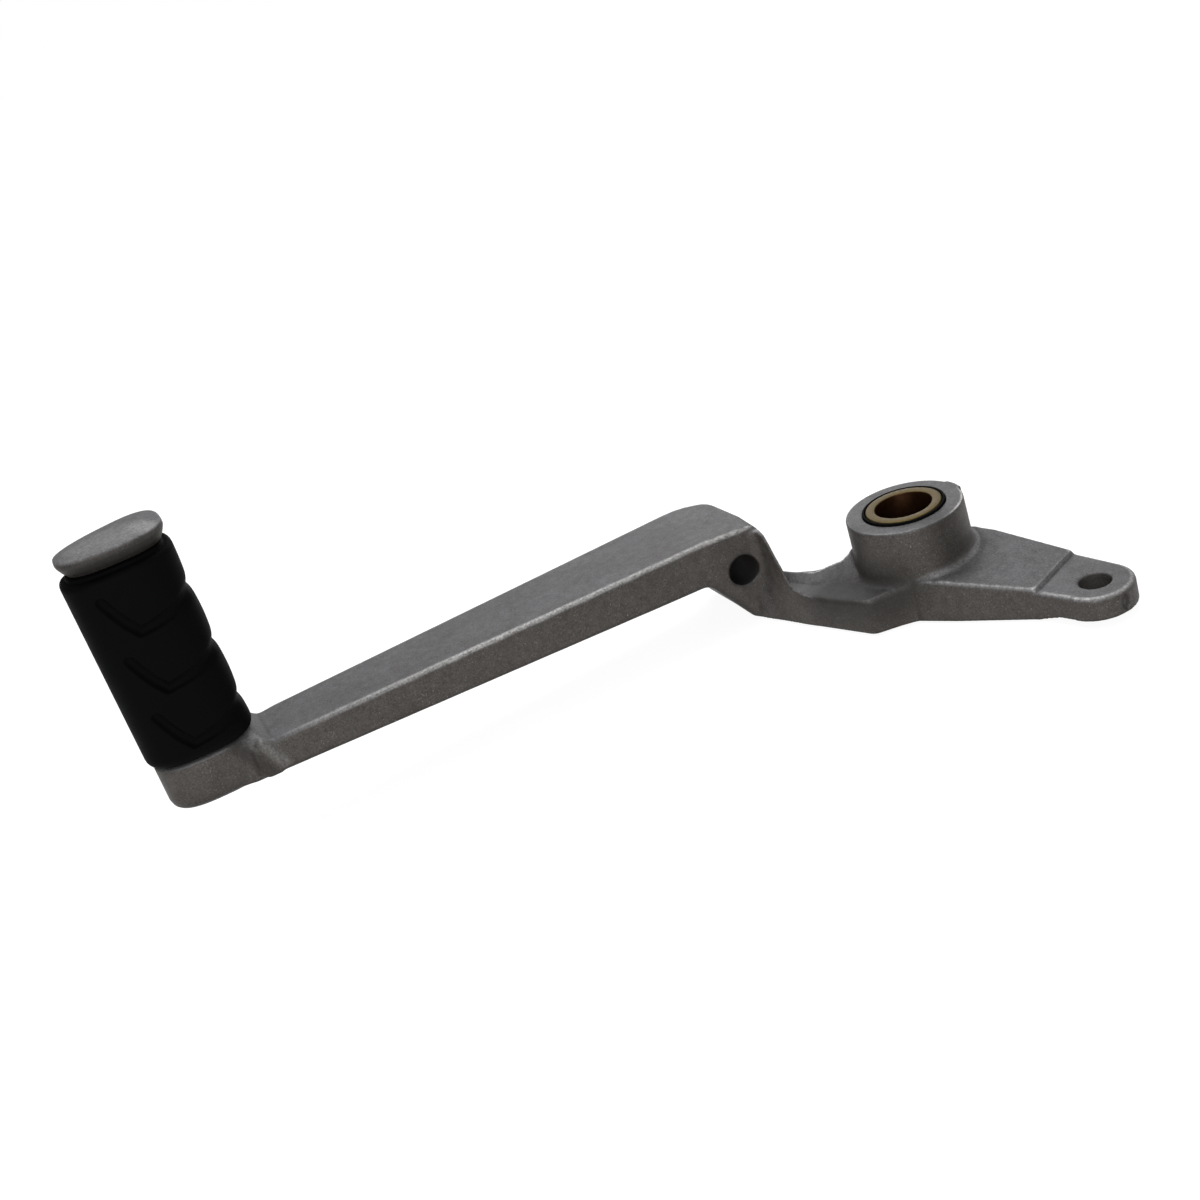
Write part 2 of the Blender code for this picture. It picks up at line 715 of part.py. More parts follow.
def make_casting():
    casting = make_arm()
    casting.name = "lever_casting"
    boss = round_bar("boss_body", (0.0, 0.0), (
        (0.0, BOSS_RADIUS + BOSS_DRAFT - BOSS_EDGE),
        (BOSS_EDGE, BOSS_RADIUS + BOSS_DRAFT),
        (BOSS_HEIGHT - BOSS_EDGE, BOSS_RADIUS),
        (BOSS_HEIGHT - BOSS_EDGE * 0.3, BOSS_RADIUS - BOSS_EDGE * 0.3),
        (BOSS_HEIGHT, BOSS_RADIUS - BOSS_EDGE),
    ))
    outlines = (plate_outline(), tail_outline())
    parts = [make_plate(), boss, make_tail(), make_nose(), make_rib()]
    parts.append(make_foot_fillet(
        "fillet_plate", math.radians(154.1), math.radians(229.6),
        lambda share: 1.7 + 0.3 * share, plate_height, outlines,
    ))
    parts.append(make_foot_fillet(
        "fillet_tail", math.radians(228.2), math.radians(397.3),
        lambda share: 2.0 + 1.8 * min(1.0, share * 1.6), tail_height, outlines,
    ))
    parts.append(make_foot_fillet(
        "fillet_rib", math.radians(139.3), math.radians(156.7),
        lambda share: 1.5, rib_height, outlines,
    ))
    parts.append(make_witness())
    parts.extend(make_peg_metal())
    for other in parts:
        combine(casting, other, "UNION")
    for cutter in make_bores():
        combine(casting, cutter, "DIFFERENCE")
    return casting


def make_witness():
    """Low upright rib left by the mould's split on the boss's outer side."""
    outer = arc_points(
        (0.0, 0.0), BOSS_RADIUS + WITNESS_PROUD, -WITNESS_HALF_ANGLE, WITNESS_HALF_ANGLE
    )
    inner = arc_points(
        (0.0, 0.0), BOSS_RADIUS - 1.0, WITNESS_HALF_ANGLE * 1.15, -WITNESS_HALF_ANGLE * 1.15
    )
    return block("witness_body", outer + inner, TAIL_TOP - 2.0, BOSS_HEIGHT - 0.05, 0.0, 0.5)


def through_cutter(name, centre, radius, chamfer, low, high):
    """Cutter for a through hole with a chamfer at both of its mouths."""
    return round_bar(name, centre, (
        (low - 2.0, radius + 2.0 * chamfer),
        (low - chamfer, radius + 2.0 * chamfer),
        (low + chamfer, radius),
        (high - chamfer, radius),
        (high + chamfer, radius + 2.0 * chamfer),
        (high + 3.0, radius + 2.0 * chamfer),
    ), 48)


def make_bores():
    """Cutters for the pivot bore, seal seats, lug hole, jog hole and the lug's dimple."""
    bore = BUSH_OUTER + GAP
    seat = BUSH_OUTER + GAP + SEAL_WIDTH + GAP
    low_seat = SEAL_DEPTH + SEAL_HEIGHT + GAP
    high_seat = BOSS_HEIGHT + SEAL_PROUD - SEAL_HEIGHT - GAP
    pivot = round_bar("cut_pivot", (0.0, 0.0), (
        (-1.0, seat),
        (low_seat, seat),
        (low_seat, bore),
        (high_seat, bore),
        (high_seat, seat),
        (BOSS_HEIGHT + 1.0, seat),
    ))
    lug = through_cutter("cut_lug", LUG_CENTRE, LUG_HOLE_RADIUS, LUG_HOLE_CHAMFER, LUG_BOTTOM, LUG_TOP)
    jog = round_bar("cut_jog", (0.0, 0.0), (
        (ARM_FRONT_WIDE - 4.0, JOG_HOLE_RADIUS),
        (ARM_BACK_WIDE + 2.0, JOG_HOLE_RADIUS),
    ), 48)
    lay_on_side(jog, (JOG_HOLE_X, 0.0, JOG_HOLE_Z), (0.0, 1.0, 0.0))
    dimple = round_bar("cut_dimple", (0.0, 0.0), (
        (0.0, DIMPLE_RADIUS * 0.8),
        (DIMPLE_DEPTH, DIMPLE_RADIUS),
        (DIMPLE_DEPTH + 3.0, DIMPLE_RADIUS),
    ), 32)
    outward = (math.cos(DIMPLE_ANGLE), math.sin(DIMPLE_ANGLE), 0.0)
    reach = LUG_RADIUS - DIMPLE_DEPTH
    start = (
        LUG_CENTRE[0] + outward[0] * reach,
        LUG_CENTRE[1] + outward[1] * reach,
        DIMPLE_HEIGHT,
    )
    lay_on_side(dimple, start, outward, DIMPLE_STRETCH)
    return pivot, lug, jog, dimple


def make_rubber():
    """Rubber sleeve on the peg's core, with chevron grooves in its tread."""
    outer = egg_outline(PEG_HALF_LENGTH + RUBBER_GROWTH, PEG_HALF_WIDTH + RUBBER_GROWTH)
    inner = egg_outline(CORE_HALF_LENGTH + GAP, CORE_HALF_WIDTH + GAP)
    low = BASE_TOP + GAP
    loops = []
    levels = round_levels(low, RUBBER_TOP - RUBBER_LIP, RUBBER_LOW_EDGE, RUBBER_EDGE)
    levels.append((RUBBER_TOP, RUBBER_EDGE + RUBBER_LIP_PULL))
    for height, pull in levels:
        loops.append([(point.x, point.y, height) for point in inset(outer, pull)])
    for height in (RUBBER_TOP, low):
        loops.append([(point.x, point.y, height) for point in inner])
    rubber = mesh_from_loops("peg_rubber", loops, closed=True)
    notch = low + GROOVE_RISE
    index = 0
    while notch < RUBBER_TOP - GROOVE_TOP_MARGIN:
        index += 1
        combine(rubber, make_groove(index, notch), "DIFFERENCE")
        notch += GROOVE_PITCH
    return rubber


def groove_path(notch):
    """Centres of a groove over the tread, with the way out of the tread and the radius."""
    outline = egg_outline(PEG_HALF_LENGTH + RUBBER_GROWTH, PEG_HALF_WIDTH + RUBBER_GROWTH)
    count = len(outline)
    apex = count * 3 // 4
    path = []
    for step in range(GROOVE_VERTEX - GROOVE_LEFT_STEPS, GROOVE_END + 1):
        here = outline[(apex + step) % count]
        along = outline[(apex + step + 1) % count] - here
        outward = Vector((along.y, -along.x, 0.0)).normalized()
        away = step - GROOVE_VERTEX
        share = max(0.0, min(1.0, away / GROOVE_RIGHT_STEPS))
        radius = GROOVE_RADIUS + (GROOVE_END_RADIUS - GROOVE_RADIUS) * share
        fade = 0.0
        if away < 0:
            height = notch - GROOVE_DROP - GROOVE_LEFT_RISE * away / GROOVE_LEFT_STEPS
            fade = GROOVE_FADE if away == -GROOVE_LEFT_STEPS else 0.0
        else:
            height = notch - GROOVE_DROP * (1.0 - share)
        centre = here + along * GROOVE_PHASE
        lift = outward * (radius - GROOVE_DEPTH + fade)
        path.append((Vector((centre.x, centre.y, height)) + lift, outward, radius))
    return path


def make_groove(index, notch):
    """Round bar bent over the tread in a chevron, open to the arm's side."""
    path = groove_path(notch)
    loops = []
    for place, (centre, outward, radius) in enumerate(path):
        before = path[max(0, place - 1)][0]
        after = path[min(len(path) - 1, place + 1)][0]
        into = (centre - before).normalized() if place > 0 else (after - centre).normalized()
        across = outward.cross(after - before).normalized()
        stretch = 1.0 / max(0.5, outward.cross(into).normalized().dot(across))
        ring = []
        for turn in range(GROOVE_SIDES):
            angle = math.tau * turn / GROOVE_SIDES
            side = outward * math.cos(angle) + across * math.sin(angle) * stretch
            ring.append(centre + side * radius)
        loops.append(ring)
    return mesh_from_loops("cut_groove_%d" % index, loops)


def make_bush():
    half_cut = BUSH_CHAMFER
    low = BUSH_RECESS
    high = BOSS_HEIGHT + BUSH_PROUD
    return revolve("pivot_bush", (
        (BUSH_INNER, low + half_cut),
        (BUSH_INNER + half_cut, low),
        (BUSH_OUTER - half_cut / 2.0, low),
        (BUSH_OUTER, low + half_cut / 2.0),
        (BUSH_OUTER, high - half_cut / 2.0),
        (BUSH_OUTER - half_cut / 2.0, high),
        (BUSH_INNER + half_cut, high),
        (BUSH_INNER, high - half_cut),
    ))


def make_seal(name, low, high):
    inner = BUSH_OUTER + GAP
    outer = inner + SEAL_WIDTH
    return revolve(name, (
        (inner, low + SEAL_EDGE),
        (inner + SEAL_EDGE, low),
        (outer - SEAL_EDGE, low),
        (outer, low + SEAL_EDGE),
        (outer, high - SEAL_EDGE),
        (outer - SEAL_EDGE, high),
        (inner + SEAL_EDGE, high),
        (inner, high - SEAL_EDGE),
    ))


def paint(item, name, colour, roughness, metallic):
    material = bpy.data.materials.new(name)
    material.use_nodes = True
    shader = material.node_tree.nodes["Principled BSDF"]
    shader.inputs["Base Color"].default_value = (*colour, 1.0)
    shader.inputs["Roughness"].default_value = roughness
    shader.inputs["Metallic"].default_value = metallic
    item.data.materials.clear()
    item.data.materials.append(material)


def smooth(item):
    item.data.shade_smooth()
    item.data.set_sharp_from_angle(angle=math.radians(32.0))


def main():
    clear_scene()
    casting = make_casting()
    rubber = make_rubber()
    bush = make_bush()
    seal_top = BOSS_HEIGHT + SEAL_PROUD
    outer_seal = make_seal("seal_ring_outer", seal_top - SEAL_HEIGHT, seal_top)
    inner_seal = make_seal("seal_ring_inner", SEAL_DEPTH, SEAL_DEPTH + SEAL_HEIGHT)
    paint(casting, "cast_aluminium", (0.43, 0.43, 0.44), 0.48, 0.9)
    paint(rubber, "black_rubber", (0.03, 0.03, 0.032), 0.75, 0.0)
    paint(bush, "bronze_bush", (0.5, 0.42, 0.24), 0.4, 0.9)
    paint(outer_seal, "seal_black_outer", (0.02, 0.02, 0.02), 0.6, 0.0)
    paint(inner_seal, "seal_black_inner", (0.02, 0.02, 0.02), 0.6, 0.0)
    for item in (casting, rubber, bush, outer_seal, inner_seal):
        smooth(item)


main()
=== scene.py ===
import math

import bmesh
import bpy
import numpy as np
from mathutils import Matrix, Vector
from mathutils.bvhtree import BVHTree
from mathutils.kdtree import KDTree


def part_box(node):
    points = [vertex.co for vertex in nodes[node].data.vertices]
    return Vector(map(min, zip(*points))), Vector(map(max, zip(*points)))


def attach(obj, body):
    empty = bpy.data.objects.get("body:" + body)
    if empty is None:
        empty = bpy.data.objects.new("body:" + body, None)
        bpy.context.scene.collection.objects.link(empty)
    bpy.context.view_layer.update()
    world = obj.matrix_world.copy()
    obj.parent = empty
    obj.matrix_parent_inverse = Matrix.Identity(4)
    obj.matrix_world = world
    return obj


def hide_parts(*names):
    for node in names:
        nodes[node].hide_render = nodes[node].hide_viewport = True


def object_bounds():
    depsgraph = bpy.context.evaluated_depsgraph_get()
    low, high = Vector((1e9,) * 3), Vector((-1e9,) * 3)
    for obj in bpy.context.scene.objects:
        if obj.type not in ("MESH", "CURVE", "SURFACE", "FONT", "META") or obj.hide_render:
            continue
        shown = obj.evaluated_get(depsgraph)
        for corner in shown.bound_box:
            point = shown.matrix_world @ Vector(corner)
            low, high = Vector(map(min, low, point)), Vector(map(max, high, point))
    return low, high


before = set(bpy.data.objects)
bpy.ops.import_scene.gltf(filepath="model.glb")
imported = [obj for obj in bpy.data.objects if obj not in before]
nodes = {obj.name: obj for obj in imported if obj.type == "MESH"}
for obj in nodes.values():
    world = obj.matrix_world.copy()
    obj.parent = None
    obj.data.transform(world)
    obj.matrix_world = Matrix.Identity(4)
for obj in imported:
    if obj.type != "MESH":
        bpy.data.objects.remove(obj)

# Sizes are in millimetres in the row frame and become metres when a mesh is made. The lights and
# the floor are given in metres.
MM = 0.001
cad_low, cad_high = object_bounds()

# The photograph's camera: focal length in pixels of a 1200 pixel frame, dip, roll and turn, and
# the pixel and depth of the boss's top centre
IMAGE_SIZE = 1200.0
FOCAL = 1620.0
DIP = math.radians(24.25)
ROLL = math.radians(18.87)
TURN = math.radians(15.5)
ANCHOR = Vector((0.0, 0.0, 26.0))
ANCHOR_PIXEL = (903.6, 506.7)
ANCHOR_DEPTH = 424.7
SENSOR_WIDTH = 36.0
CLIP_NEAR = 0.01
CLIP_FAR = 10.0

# Lights: name, place, target, size and power. The world is a soft dome, dim at the level of the
# floor and brighter overhead.
LIGHTS = (
    ("key_above", (-0.02, 0.27, 0.75), (-0.08, 0.02, 0.02), (0.7, 0.5), 4.1),
    ("fill_front", (-0.4, -0.75, 0.3), (-0.05, 0.0, 0.02), (0.4, 0.4), 3.6),
    ("fill_back", (0.35, 0.8, 0.3), (-0.05, 0.0, 0.02), (0.4, 0.4), 0.9),
)
DOME_LEVELS = (0.09, 0.4)

# Floor: half its side and its drop below the part, its grey, and its glow, which grows with the
# distance from the pivot so that it fades into the white behind it
FLOOR_HALF = 6.0
FLOOR_DROP = 0.0004
FLOOR_GREY = 0.28
GLOW_DISTANCES = (0.25, 0.9)
GLOW_LEVELS = (0.9, 1.0)

# Casting: voxel of the remesh, rounds of smoothing, and the triangles left in the end
VOXEL = 0.36
SMOOTH_ROUNDS = 8
MOST_TRIANGLES = 195000

# Lines on the casting run from one point to another, with a reach across and, for those that
# colour it, a share. Of what lies within a line's reach, this share gets its full strength.
LINE_CORE = 0.35
# The mould leaves these rounder than the rest: the plate's upright corner and the peg's root.
ROUND_LINES = (
    ((-20.3, -8.6, 0.0), (-20.3, -8.6, 12.0), 5.5),
    ((-175.5, 36.0, 33.0), (-171.5, 31.5, 19.0), 8.5),
)
ROUND_ROUNDS = 90
# And it leaves the top of the peg's root flat.
FLAT_LINES = (
    ((-173.5, 34.0, 31.5), (-172.0, 50.0, 31.0), 6.5),
)
FLAT_ROUNDS = 60

# Holes: axis (0 for x, 1 for y, 2 for z), centre across it, radius, range and how dark the painted
# shade inside is
HOLES = (
    (1, (-37.3, 16.0), 4.35, (20.0, 60.0), 1.0),
    (2, (21.9, -45.5), 4.0, (1.0, 9.0), 0.45),
    (2, (0.0, 0.0), 11.05, (-1.0, 25.85), 1.0),
)
# How far the painted shade reaches past a hole's wall, and where wear and painted highlight start
# again round its mouth
HOLE_FADE = (-0.1, 0.15)
MOUTH_FADE = (1.1, 1.7)

# Edges: the bend of the surface at which one starts and is full, how much more it takes beyond
# the arm, and the bend of a hollow
BEND_ROUNDS = 4
EDGE_BEND = (0.05, 0.17)
EDGE_BEND_BEYOND = 0.035
HOLLOW_BEND = (0.03, 0.12)
# Facing: the upward part of the normal at which an edge is rubbed with a painted highlight, and
# the range in which it takes painted shade
WORN_AND_LIT_RISE = (0.15, 0.45)
SHADED_RISE_TOP = (0.1, 0.3)
SHADED_RISE_LOW = (-0.6, -0.4)

# Where wear and painted highlight fade in along x: along the arm from the peg, and where they fade
# again past the arm's end, by a share on what slopes and wholly on the walls
ALONG_X = (-165.0, -112.0)
LEAST_ALONG = 0.3
BEYOND_X = (-36.0, -30.0)
BEYOND_CLEAR = 0.6
SLOPE_RISE = (0.75, 0.9)
WALL_RISE = (0.35, 0.6)
# Less wear and painted highlight stays at the peg: on its root, and above this height on this side
ROOT_CLEAR = ((-175.0, 33.0, 32.0), (-170.0, 31.0, 20.0), 13.0)
PEG_Z = (29.5, 31.0)
PEG_X = (-174.0, -170.0)
PEG_CLEAR = 0.93
# The falling ridge between the arm and the plate gets neither wear nor painted highlight.
RIDGE_START_X = (-34.5, -32.5)
RIDGE_END_X = (-25.0, -22.0)
RIDGE_Z = (25.5, 27.0)
RIDGE_CLEAR = 0.9

# Boss rim: its radius and lowest height, and the bearing and shares of its part with the most
# painted highlight and wear
RIM_RADIUS = 15.55
RIM_REACH = 2.0
RIM_LOW = 20.0
RIM_BEARING = math.radians(-42.0)
RIM_COSINES = (0.75, 0.95)
RIM_SHARES = (0.2, 1.1)
RIM_RISE = (0.45, 0.75)
# Painted highlight line round the boss's foot: its radius, height, bearing, reach and share, and
# the reach within which its hollow is kept clear of painted shade and dirt
FOOT_RADIUS = 16.5
FOOT_HIGH = 12.4
FOOT_BEARING = math.radians(-62.0)
FOOT_COSINES = (0.42, 0.72)
FOOT_CORE = 0.4
FOOT_REACH = 1.1
FOOT_SHARE = 0.27
FOOT_CLEAN_REACH = 3.0

# Painted highlights: the bright band down the peg's root, in two lines, then the middle and the
# right end of the cap's top
HIGHLIGHT_LINES = (
    ((-175.1, 35.8, 31.5), (-174.0, 31.2, 30.6), 1.7, 0.17),
    ((-174.0, 31.0, 30.4), (-170.2, 30.9, 21.2), 2.0, 0.17),
    ((-194.0, 39.5, 92.0), (-184.0, 38.5, 92.0), 7.0, 0.1),
    ((-176.5, 35.6, 91.3), (-178.5, 37.5, 91.8), 4.5, 0.2),
)
HIGHLIGHT_LEAST_RISE = -0.2
# Painted shade and shadow, with some dirt: in the valley in the peg's root, on the peg's base, the
# plate's top, the boss's right side as a painted dark reflection, its left side and its top's
# front, the arm's end, the corner left of the boss, the rib's foot and top, the corner under the
# boss, and the jog's lower edge
SHADE_AND_DIRT_LINES = (
    ((-179.6, 32.2, 30.6), (-174.3, 30.6, 20.6), 3.0, 0.75),
    ((-198.0, 31.0, 17.0), (-186.0, 31.0, 17.0), 15.0, 0.22),
    ((-23.5, 5.0, 10.0), (-14.5, -10.5, 10.0), 12.0, 0.95),
    ((0.6, -15.5, 27.0), (2.8, -15.5, 14.5), 7.5, 0.58),
    ((-15.6, 0.0, 26.0), (-15.6, 1.0, 14.0), 5.0, 0.42),
    ((-13.5, -1.0, 26.0), (-3.0, -13.2, 26.0), 5.5, 0.15),
    ((-60.0, 45.0, 29.0), (-48.0, 40.0, 30.0), 16.0, 0.1),
    ((-15.6, 0.5, 23.0), (-16.2, 1.0, 12.0), 2.6, 0.65),
    ((-24.5, 14.7, 9.6), (-18.5, 4.8, 10.4), 1.3, 0.72),
    ((-22.0, 15.0, 11.0), (-17.5, 8.5, 12.4), 5.5, 0.28),
    ((-9.8, -13.0, 11.0), (-9.8, -13.0, 0.5), 1.1, 0.65),
    ((-45.0, 27.6, 12.0), (-38.3, 27.4, 1.5), 2.2, 0.5),
)
# Painted shade on the lower half of rounded edges, and dirt with painted shade in hollows
EDGE_SHADE = 0.5
HOLLOW_SHADE_AND_DIRT = 0.8
# Painted shade on the cap's side: where the cap starts, the rise at which its top takes over, the
# height of the side's rim, and the depth below it over which the shade grows from the first share
CAP_Z = (84.0, 85.0)
CAP_RISE = (0.2, 0.5)
CAP_RIM = 91.0
CAP_DEPTHS = (0.6, 2.6)
CAP_SHARES = (0.72, 0.28)

# Painted shade in recesses, found with rays from a coarse copy of the casting
RECESS_VOXEL = 1.3
RECESS_RAYS = 24
RECESS_START = 0.7
RECESS_REACH = 22.0
RECESS_ROUNDS = 12

# Rise at which the surface takes the tops' colour, painted lighter as light from above, and that
# of the underside, painted darker as shade
TOP_LIGHT_RISE = (0.1, 0.8)
UNDER_SHADE_RISE = (0.05, 0.5)

# Colours of the casting, and pairs between which the other materials vary
# Walls and tops differ as painted shade and painted light, and the underside colour is painted
# shade.
WALL_SHADE_COLOUR = (0.092, 0.083, 0.076)
TOP_LIGHT_COLOUR = (0.140, 0.137, 0.141)
UNDER_SHADE_COLOUR = (0.025, 0.022, 0.02)
FLECK_GLINT_COLOUR = (0.34, 0.34, 0.34)
# Pits of the casting, and also the painted shade of recesses
PIT_AND_SHADE_COLOUR = (0.03, 0.027, 0.025)
# Rubbed metal, also used as painted highlight on the upper edges.
RUBBED_AND_HIGHLIGHT_COLOUR = (0.66, 0.655, 0.64)
# Colour of dirt and of painted shade
GRIME_AND_SHADE_COLOUR = (0.02, 0.018, 0.016)
HOLE_SHADE_COLOUR = (0.012, 0.011, 0.01)
RUBBER_COLOURS = ((0.0014, 0.0015, 0.0016), (0.003, 0.0031, 0.0032))
BRONZE_COLOURS = ((0.084, 0.058, 0.018), (0.128, 0.093, 0.031))
# Inside of the bush: painted shade with an oil stain
BORE_SHADE_COLOUR = (0.048, 0.019, 0.0065)
SEAL_COLOURS = ((0.002, 0.002, 0.002), (0.005, 0.005, 0.0045))

# Rubber: the peg's section, its power and its skews towards the front and the back, the heights
# of the sleeve, its lip's height and pull, and the rounding of its foot and shoulder
PEG_CENTRE = (-186.9, 41.8)
RUBBER_HALF = (14.3, 11.2)
CORE_HALF = (9.5, 6.5)
PEG_POWER = 2.7
PEG_FRONT_SKEW = 0.04
PEG_BACK_SKEW = 0.25
RUBBER_LOW = 31.9
RUBBER_HIGH = 86.0
RUBBER_LIP = 0.9
RUBBER_LIP_PULL = 0.5
RUBBER_LOW_EDGE = 2.8
RUBBER_EDGE = 1.6
LIP_CORNER = ((0.1, -0.15), (-0.3, 0.0), (0.0, 0.25))
EDGE_ROWS = 8
SECTION_POINTS = 2800
RUBBER_COLUMNS = 280
RUBBER_ROWS = 150
RUBBER_SHARP = math.radians(60.0)
# Past this share of the way round, the run along the tread counts back from its middle.
RUN_SPLIT = 0.6

# Chevron grooves, as in the CAD: the heights of their notches, and their first, lowest, level and
# last steps round an outline of so many points, counted from the tread's middle
GROOVES = (40.4, 56.55, 72.7)
OUTLINE_STEPS = 56
GROOVE_FIRST = -4
GROOVE_VERTEX = -1
GROOVE_LEVEL = 10
GROOVE_LAST = 16
GROOVE_PHASE = 0.53
# The drop of the vertex below the level part, the rise of the short limb, the radius at the
# vertex and on the level part, the depth, and how soft the lips are
GROOVE_DROP = 3.5
GROOVE_LEFT_RISE = 10.1
GROOVE_RADII = (1.5, 2.8)
GROOVE_DEPTH = 1.2
GROOVE_SOFTNESS = 0.12
GROOVE_LEAST = 0.03
# The scallops on the level part: depth and width of the two bells that make one
SCALLOP_BELLS = ((0.85, 1.9), (0.35, 5.0))

# Bush and seals as in the CAD, but the outer seal is lifted level with the bush's face. Seals:
# node, piece and lift.
BUSH_RADII = (7.5, 10.1)
BUSH_EDGE = 0.3
BORE_FADE = 0.2
SEALS = (
    ("seal_ring_outer", "seal_outer_turned", 0.3),
    ("seal_ring_inner", "seal_inner_turned", 0.0),
)
SEAL_RADII = (10.35, 10.95)
SEAL_EDGE = 0.14
RING_SEGMENTS = 160
CORNER_TURNS = (0, 30, 60, 90)
RING_SHARP = math.radians(50.0)


def link(name, mesh):
    item = bpy.data.objects.new(name, mesh)
    bpy.context.scene.collection.objects.link(item)
    return item


def mesh_from_arrays(name, vertices, faces):
    mesh = bpy.data.meshes.new(name)
    mesh.from_pydata([tuple(v) for v in vertices], [], [tuple(f) for f in faces])
    mesh.validate()
    mesh.update()
    return mesh


def coordinates(mesh):
    flat = np.zeros(len(mesh.vertices) * 3)
    mesh.vertices.foreach_get("co", flat)
    return flat.reshape(-1, 3)


def set_coordinates(mesh, points):
    mesh.vertices.foreach_set("co", np.asarray(points, np.float64).ravel())
    mesh.update()


def edge_list(mesh):
    flat = np.zeros(len(mesh.edges) * 2, np.int64)
    mesh.edges.foreach_get("vertices", flat)
    return flat.reshape(-1, 2)


def neighbour_mean(edges, values):
    """Mean of each vertex's neighbours, for a list of values or of points."""
    count = len(values)
    total = np.zeros_like(values)
    weight = np.bincount(edges.ravel(), minlength=count).astype(float)
    columns = values.reshape(count, -1)
    flat = total.reshape(count, -1)
    for axis in range(columns.shape[1]):
        column = columns[:, axis]
        flat[:, axis] = np.bincount(
            edges[:, 0], column[edges[:, 1]], minlength=count
        ) + np.bincount(edges[:, 1], column[edges[:, 0]], minlength=count)
    weight[weight == 0] = 1.0
    return (flat / weight[:, None]).reshape(values.shape)


def relax(edges, points, rounds, share=0.5, back=-0.52):
    """Smooth points without shrinking them: each round moves out again by a little more."""
    for _ in range(rounds):
        points = points + share * (neighbour_mean(edges, points) - points)
        points = points + back * (neighbour_mean(edges, points) - points)
    return points


def soften(edges, values, rounds):
    """Average values half with their neighbours' mean, so many times."""
    for _ in range(rounds):
        values = 0.5 * values + 0.5 * neighbour_mean(edges, values)
    return values


def vertex_normals(mesh):
    flat = np.zeros(len(mesh.vertices) * 3)
    mesh.vertex_normals.foreach_get("vector", flat)
    return flat.reshape(-1, 3)


def store(mesh, name, values):
    attribute = mesh.attributes.new(name, "FLOAT", "POINT")
    attribute.data.foreach_set("value", values.astype(np.float32))


# Materials


class Nodes:
    """Small helper that adds and joins shader nodes."""

    def __init__(self, name):
        self.material = bpy.data.materials.new(name)
        self.material.use_nodes = True
        self.tree = self.material.node_tree
        self.shader = self.tree.nodes["Principled BSDF"]

    def add(self, kind, **settings):
        node = self.tree.nodes.new(kind)
        for key, value in settings.items():
            setattr(node, key, value)
        return node

    def join(self, source, target):
        self.tree.links.new(source, target)

    def position(self):
        return self.add("ShaderNodeTexCoord").outputs["Object"]

    def noise(self, where, scale, detail=3.0, roughness=0.55, distortion=0.0):
        node = self.add("ShaderNodeTexNoise")
        node.inputs["Scale"].default_value = scale
        node.inputs["Detail"].default_value = detail
        node.inputs["Roughness"].default_value = roughness
        node.inputs["Distortion"].default_value = distortion
        self.join(where, node.inputs["Vector"])
        return node.outputs["Fac"]

    def ramp(self, source, low, high, low_value=0.0, high_value=1.0):
        node = self.add("ShaderNodeMapRange", clamp=True)
        self.join(source, node.inputs["Value"])
        node.inputs["From Min"].default_value = low
        node.inputs["From Max"].default_value = high
        node.inputs["To Min"].default_value = low_value
        node.inputs["To Max"].default_value = high_value
        return node.outputs["Result"]

    def math(self, operation, first, second=None, clamp=False):
        node = self.add("ShaderNodeMath", operation=operation, use_clamp=clamp)
        for socket, value in zip(node.inputs, (first, second)):
            if value is None:
                continue
            if isinstance(value, (int, float)):
                socket.default_value = value
            else:
                self.join(value, socket)
        return node.outputs[0]

    def mix(self, share, first, second, blend="MIX"):
        node = self.add("ShaderNodeMix", data_type="RGBA", blend_type=blend)
        if isinstance(share, (int, float)):
            node.inputs[0].default_value = share
        else:
            self.join(share, node.inputs[0])
        for socket, value in ((node.inputs[6], first), (node.inputs[7], second)):
            if isinstance(value, tuple):
                socket.default_value = (*value, 1.0)
            else:
                self.join(value, socket)
        return node.outputs[2]

    def attribute(self, name):
        return self.add("ShaderNodeAttribute", attribute_name=name).outputs["Fac"]

    def bump(self, height, strength, distance, previous=None):
        node = self.add("ShaderNodeBump")
        node.inputs["Strength"].default_value = strength
        node.inputs["Distance"].default_value = distance
        self.join(height, node.inputs["Height"])
        if previous is not None:
            self.join(previous, node.inputs["Normal"])
        return node.outputs["Normal"]


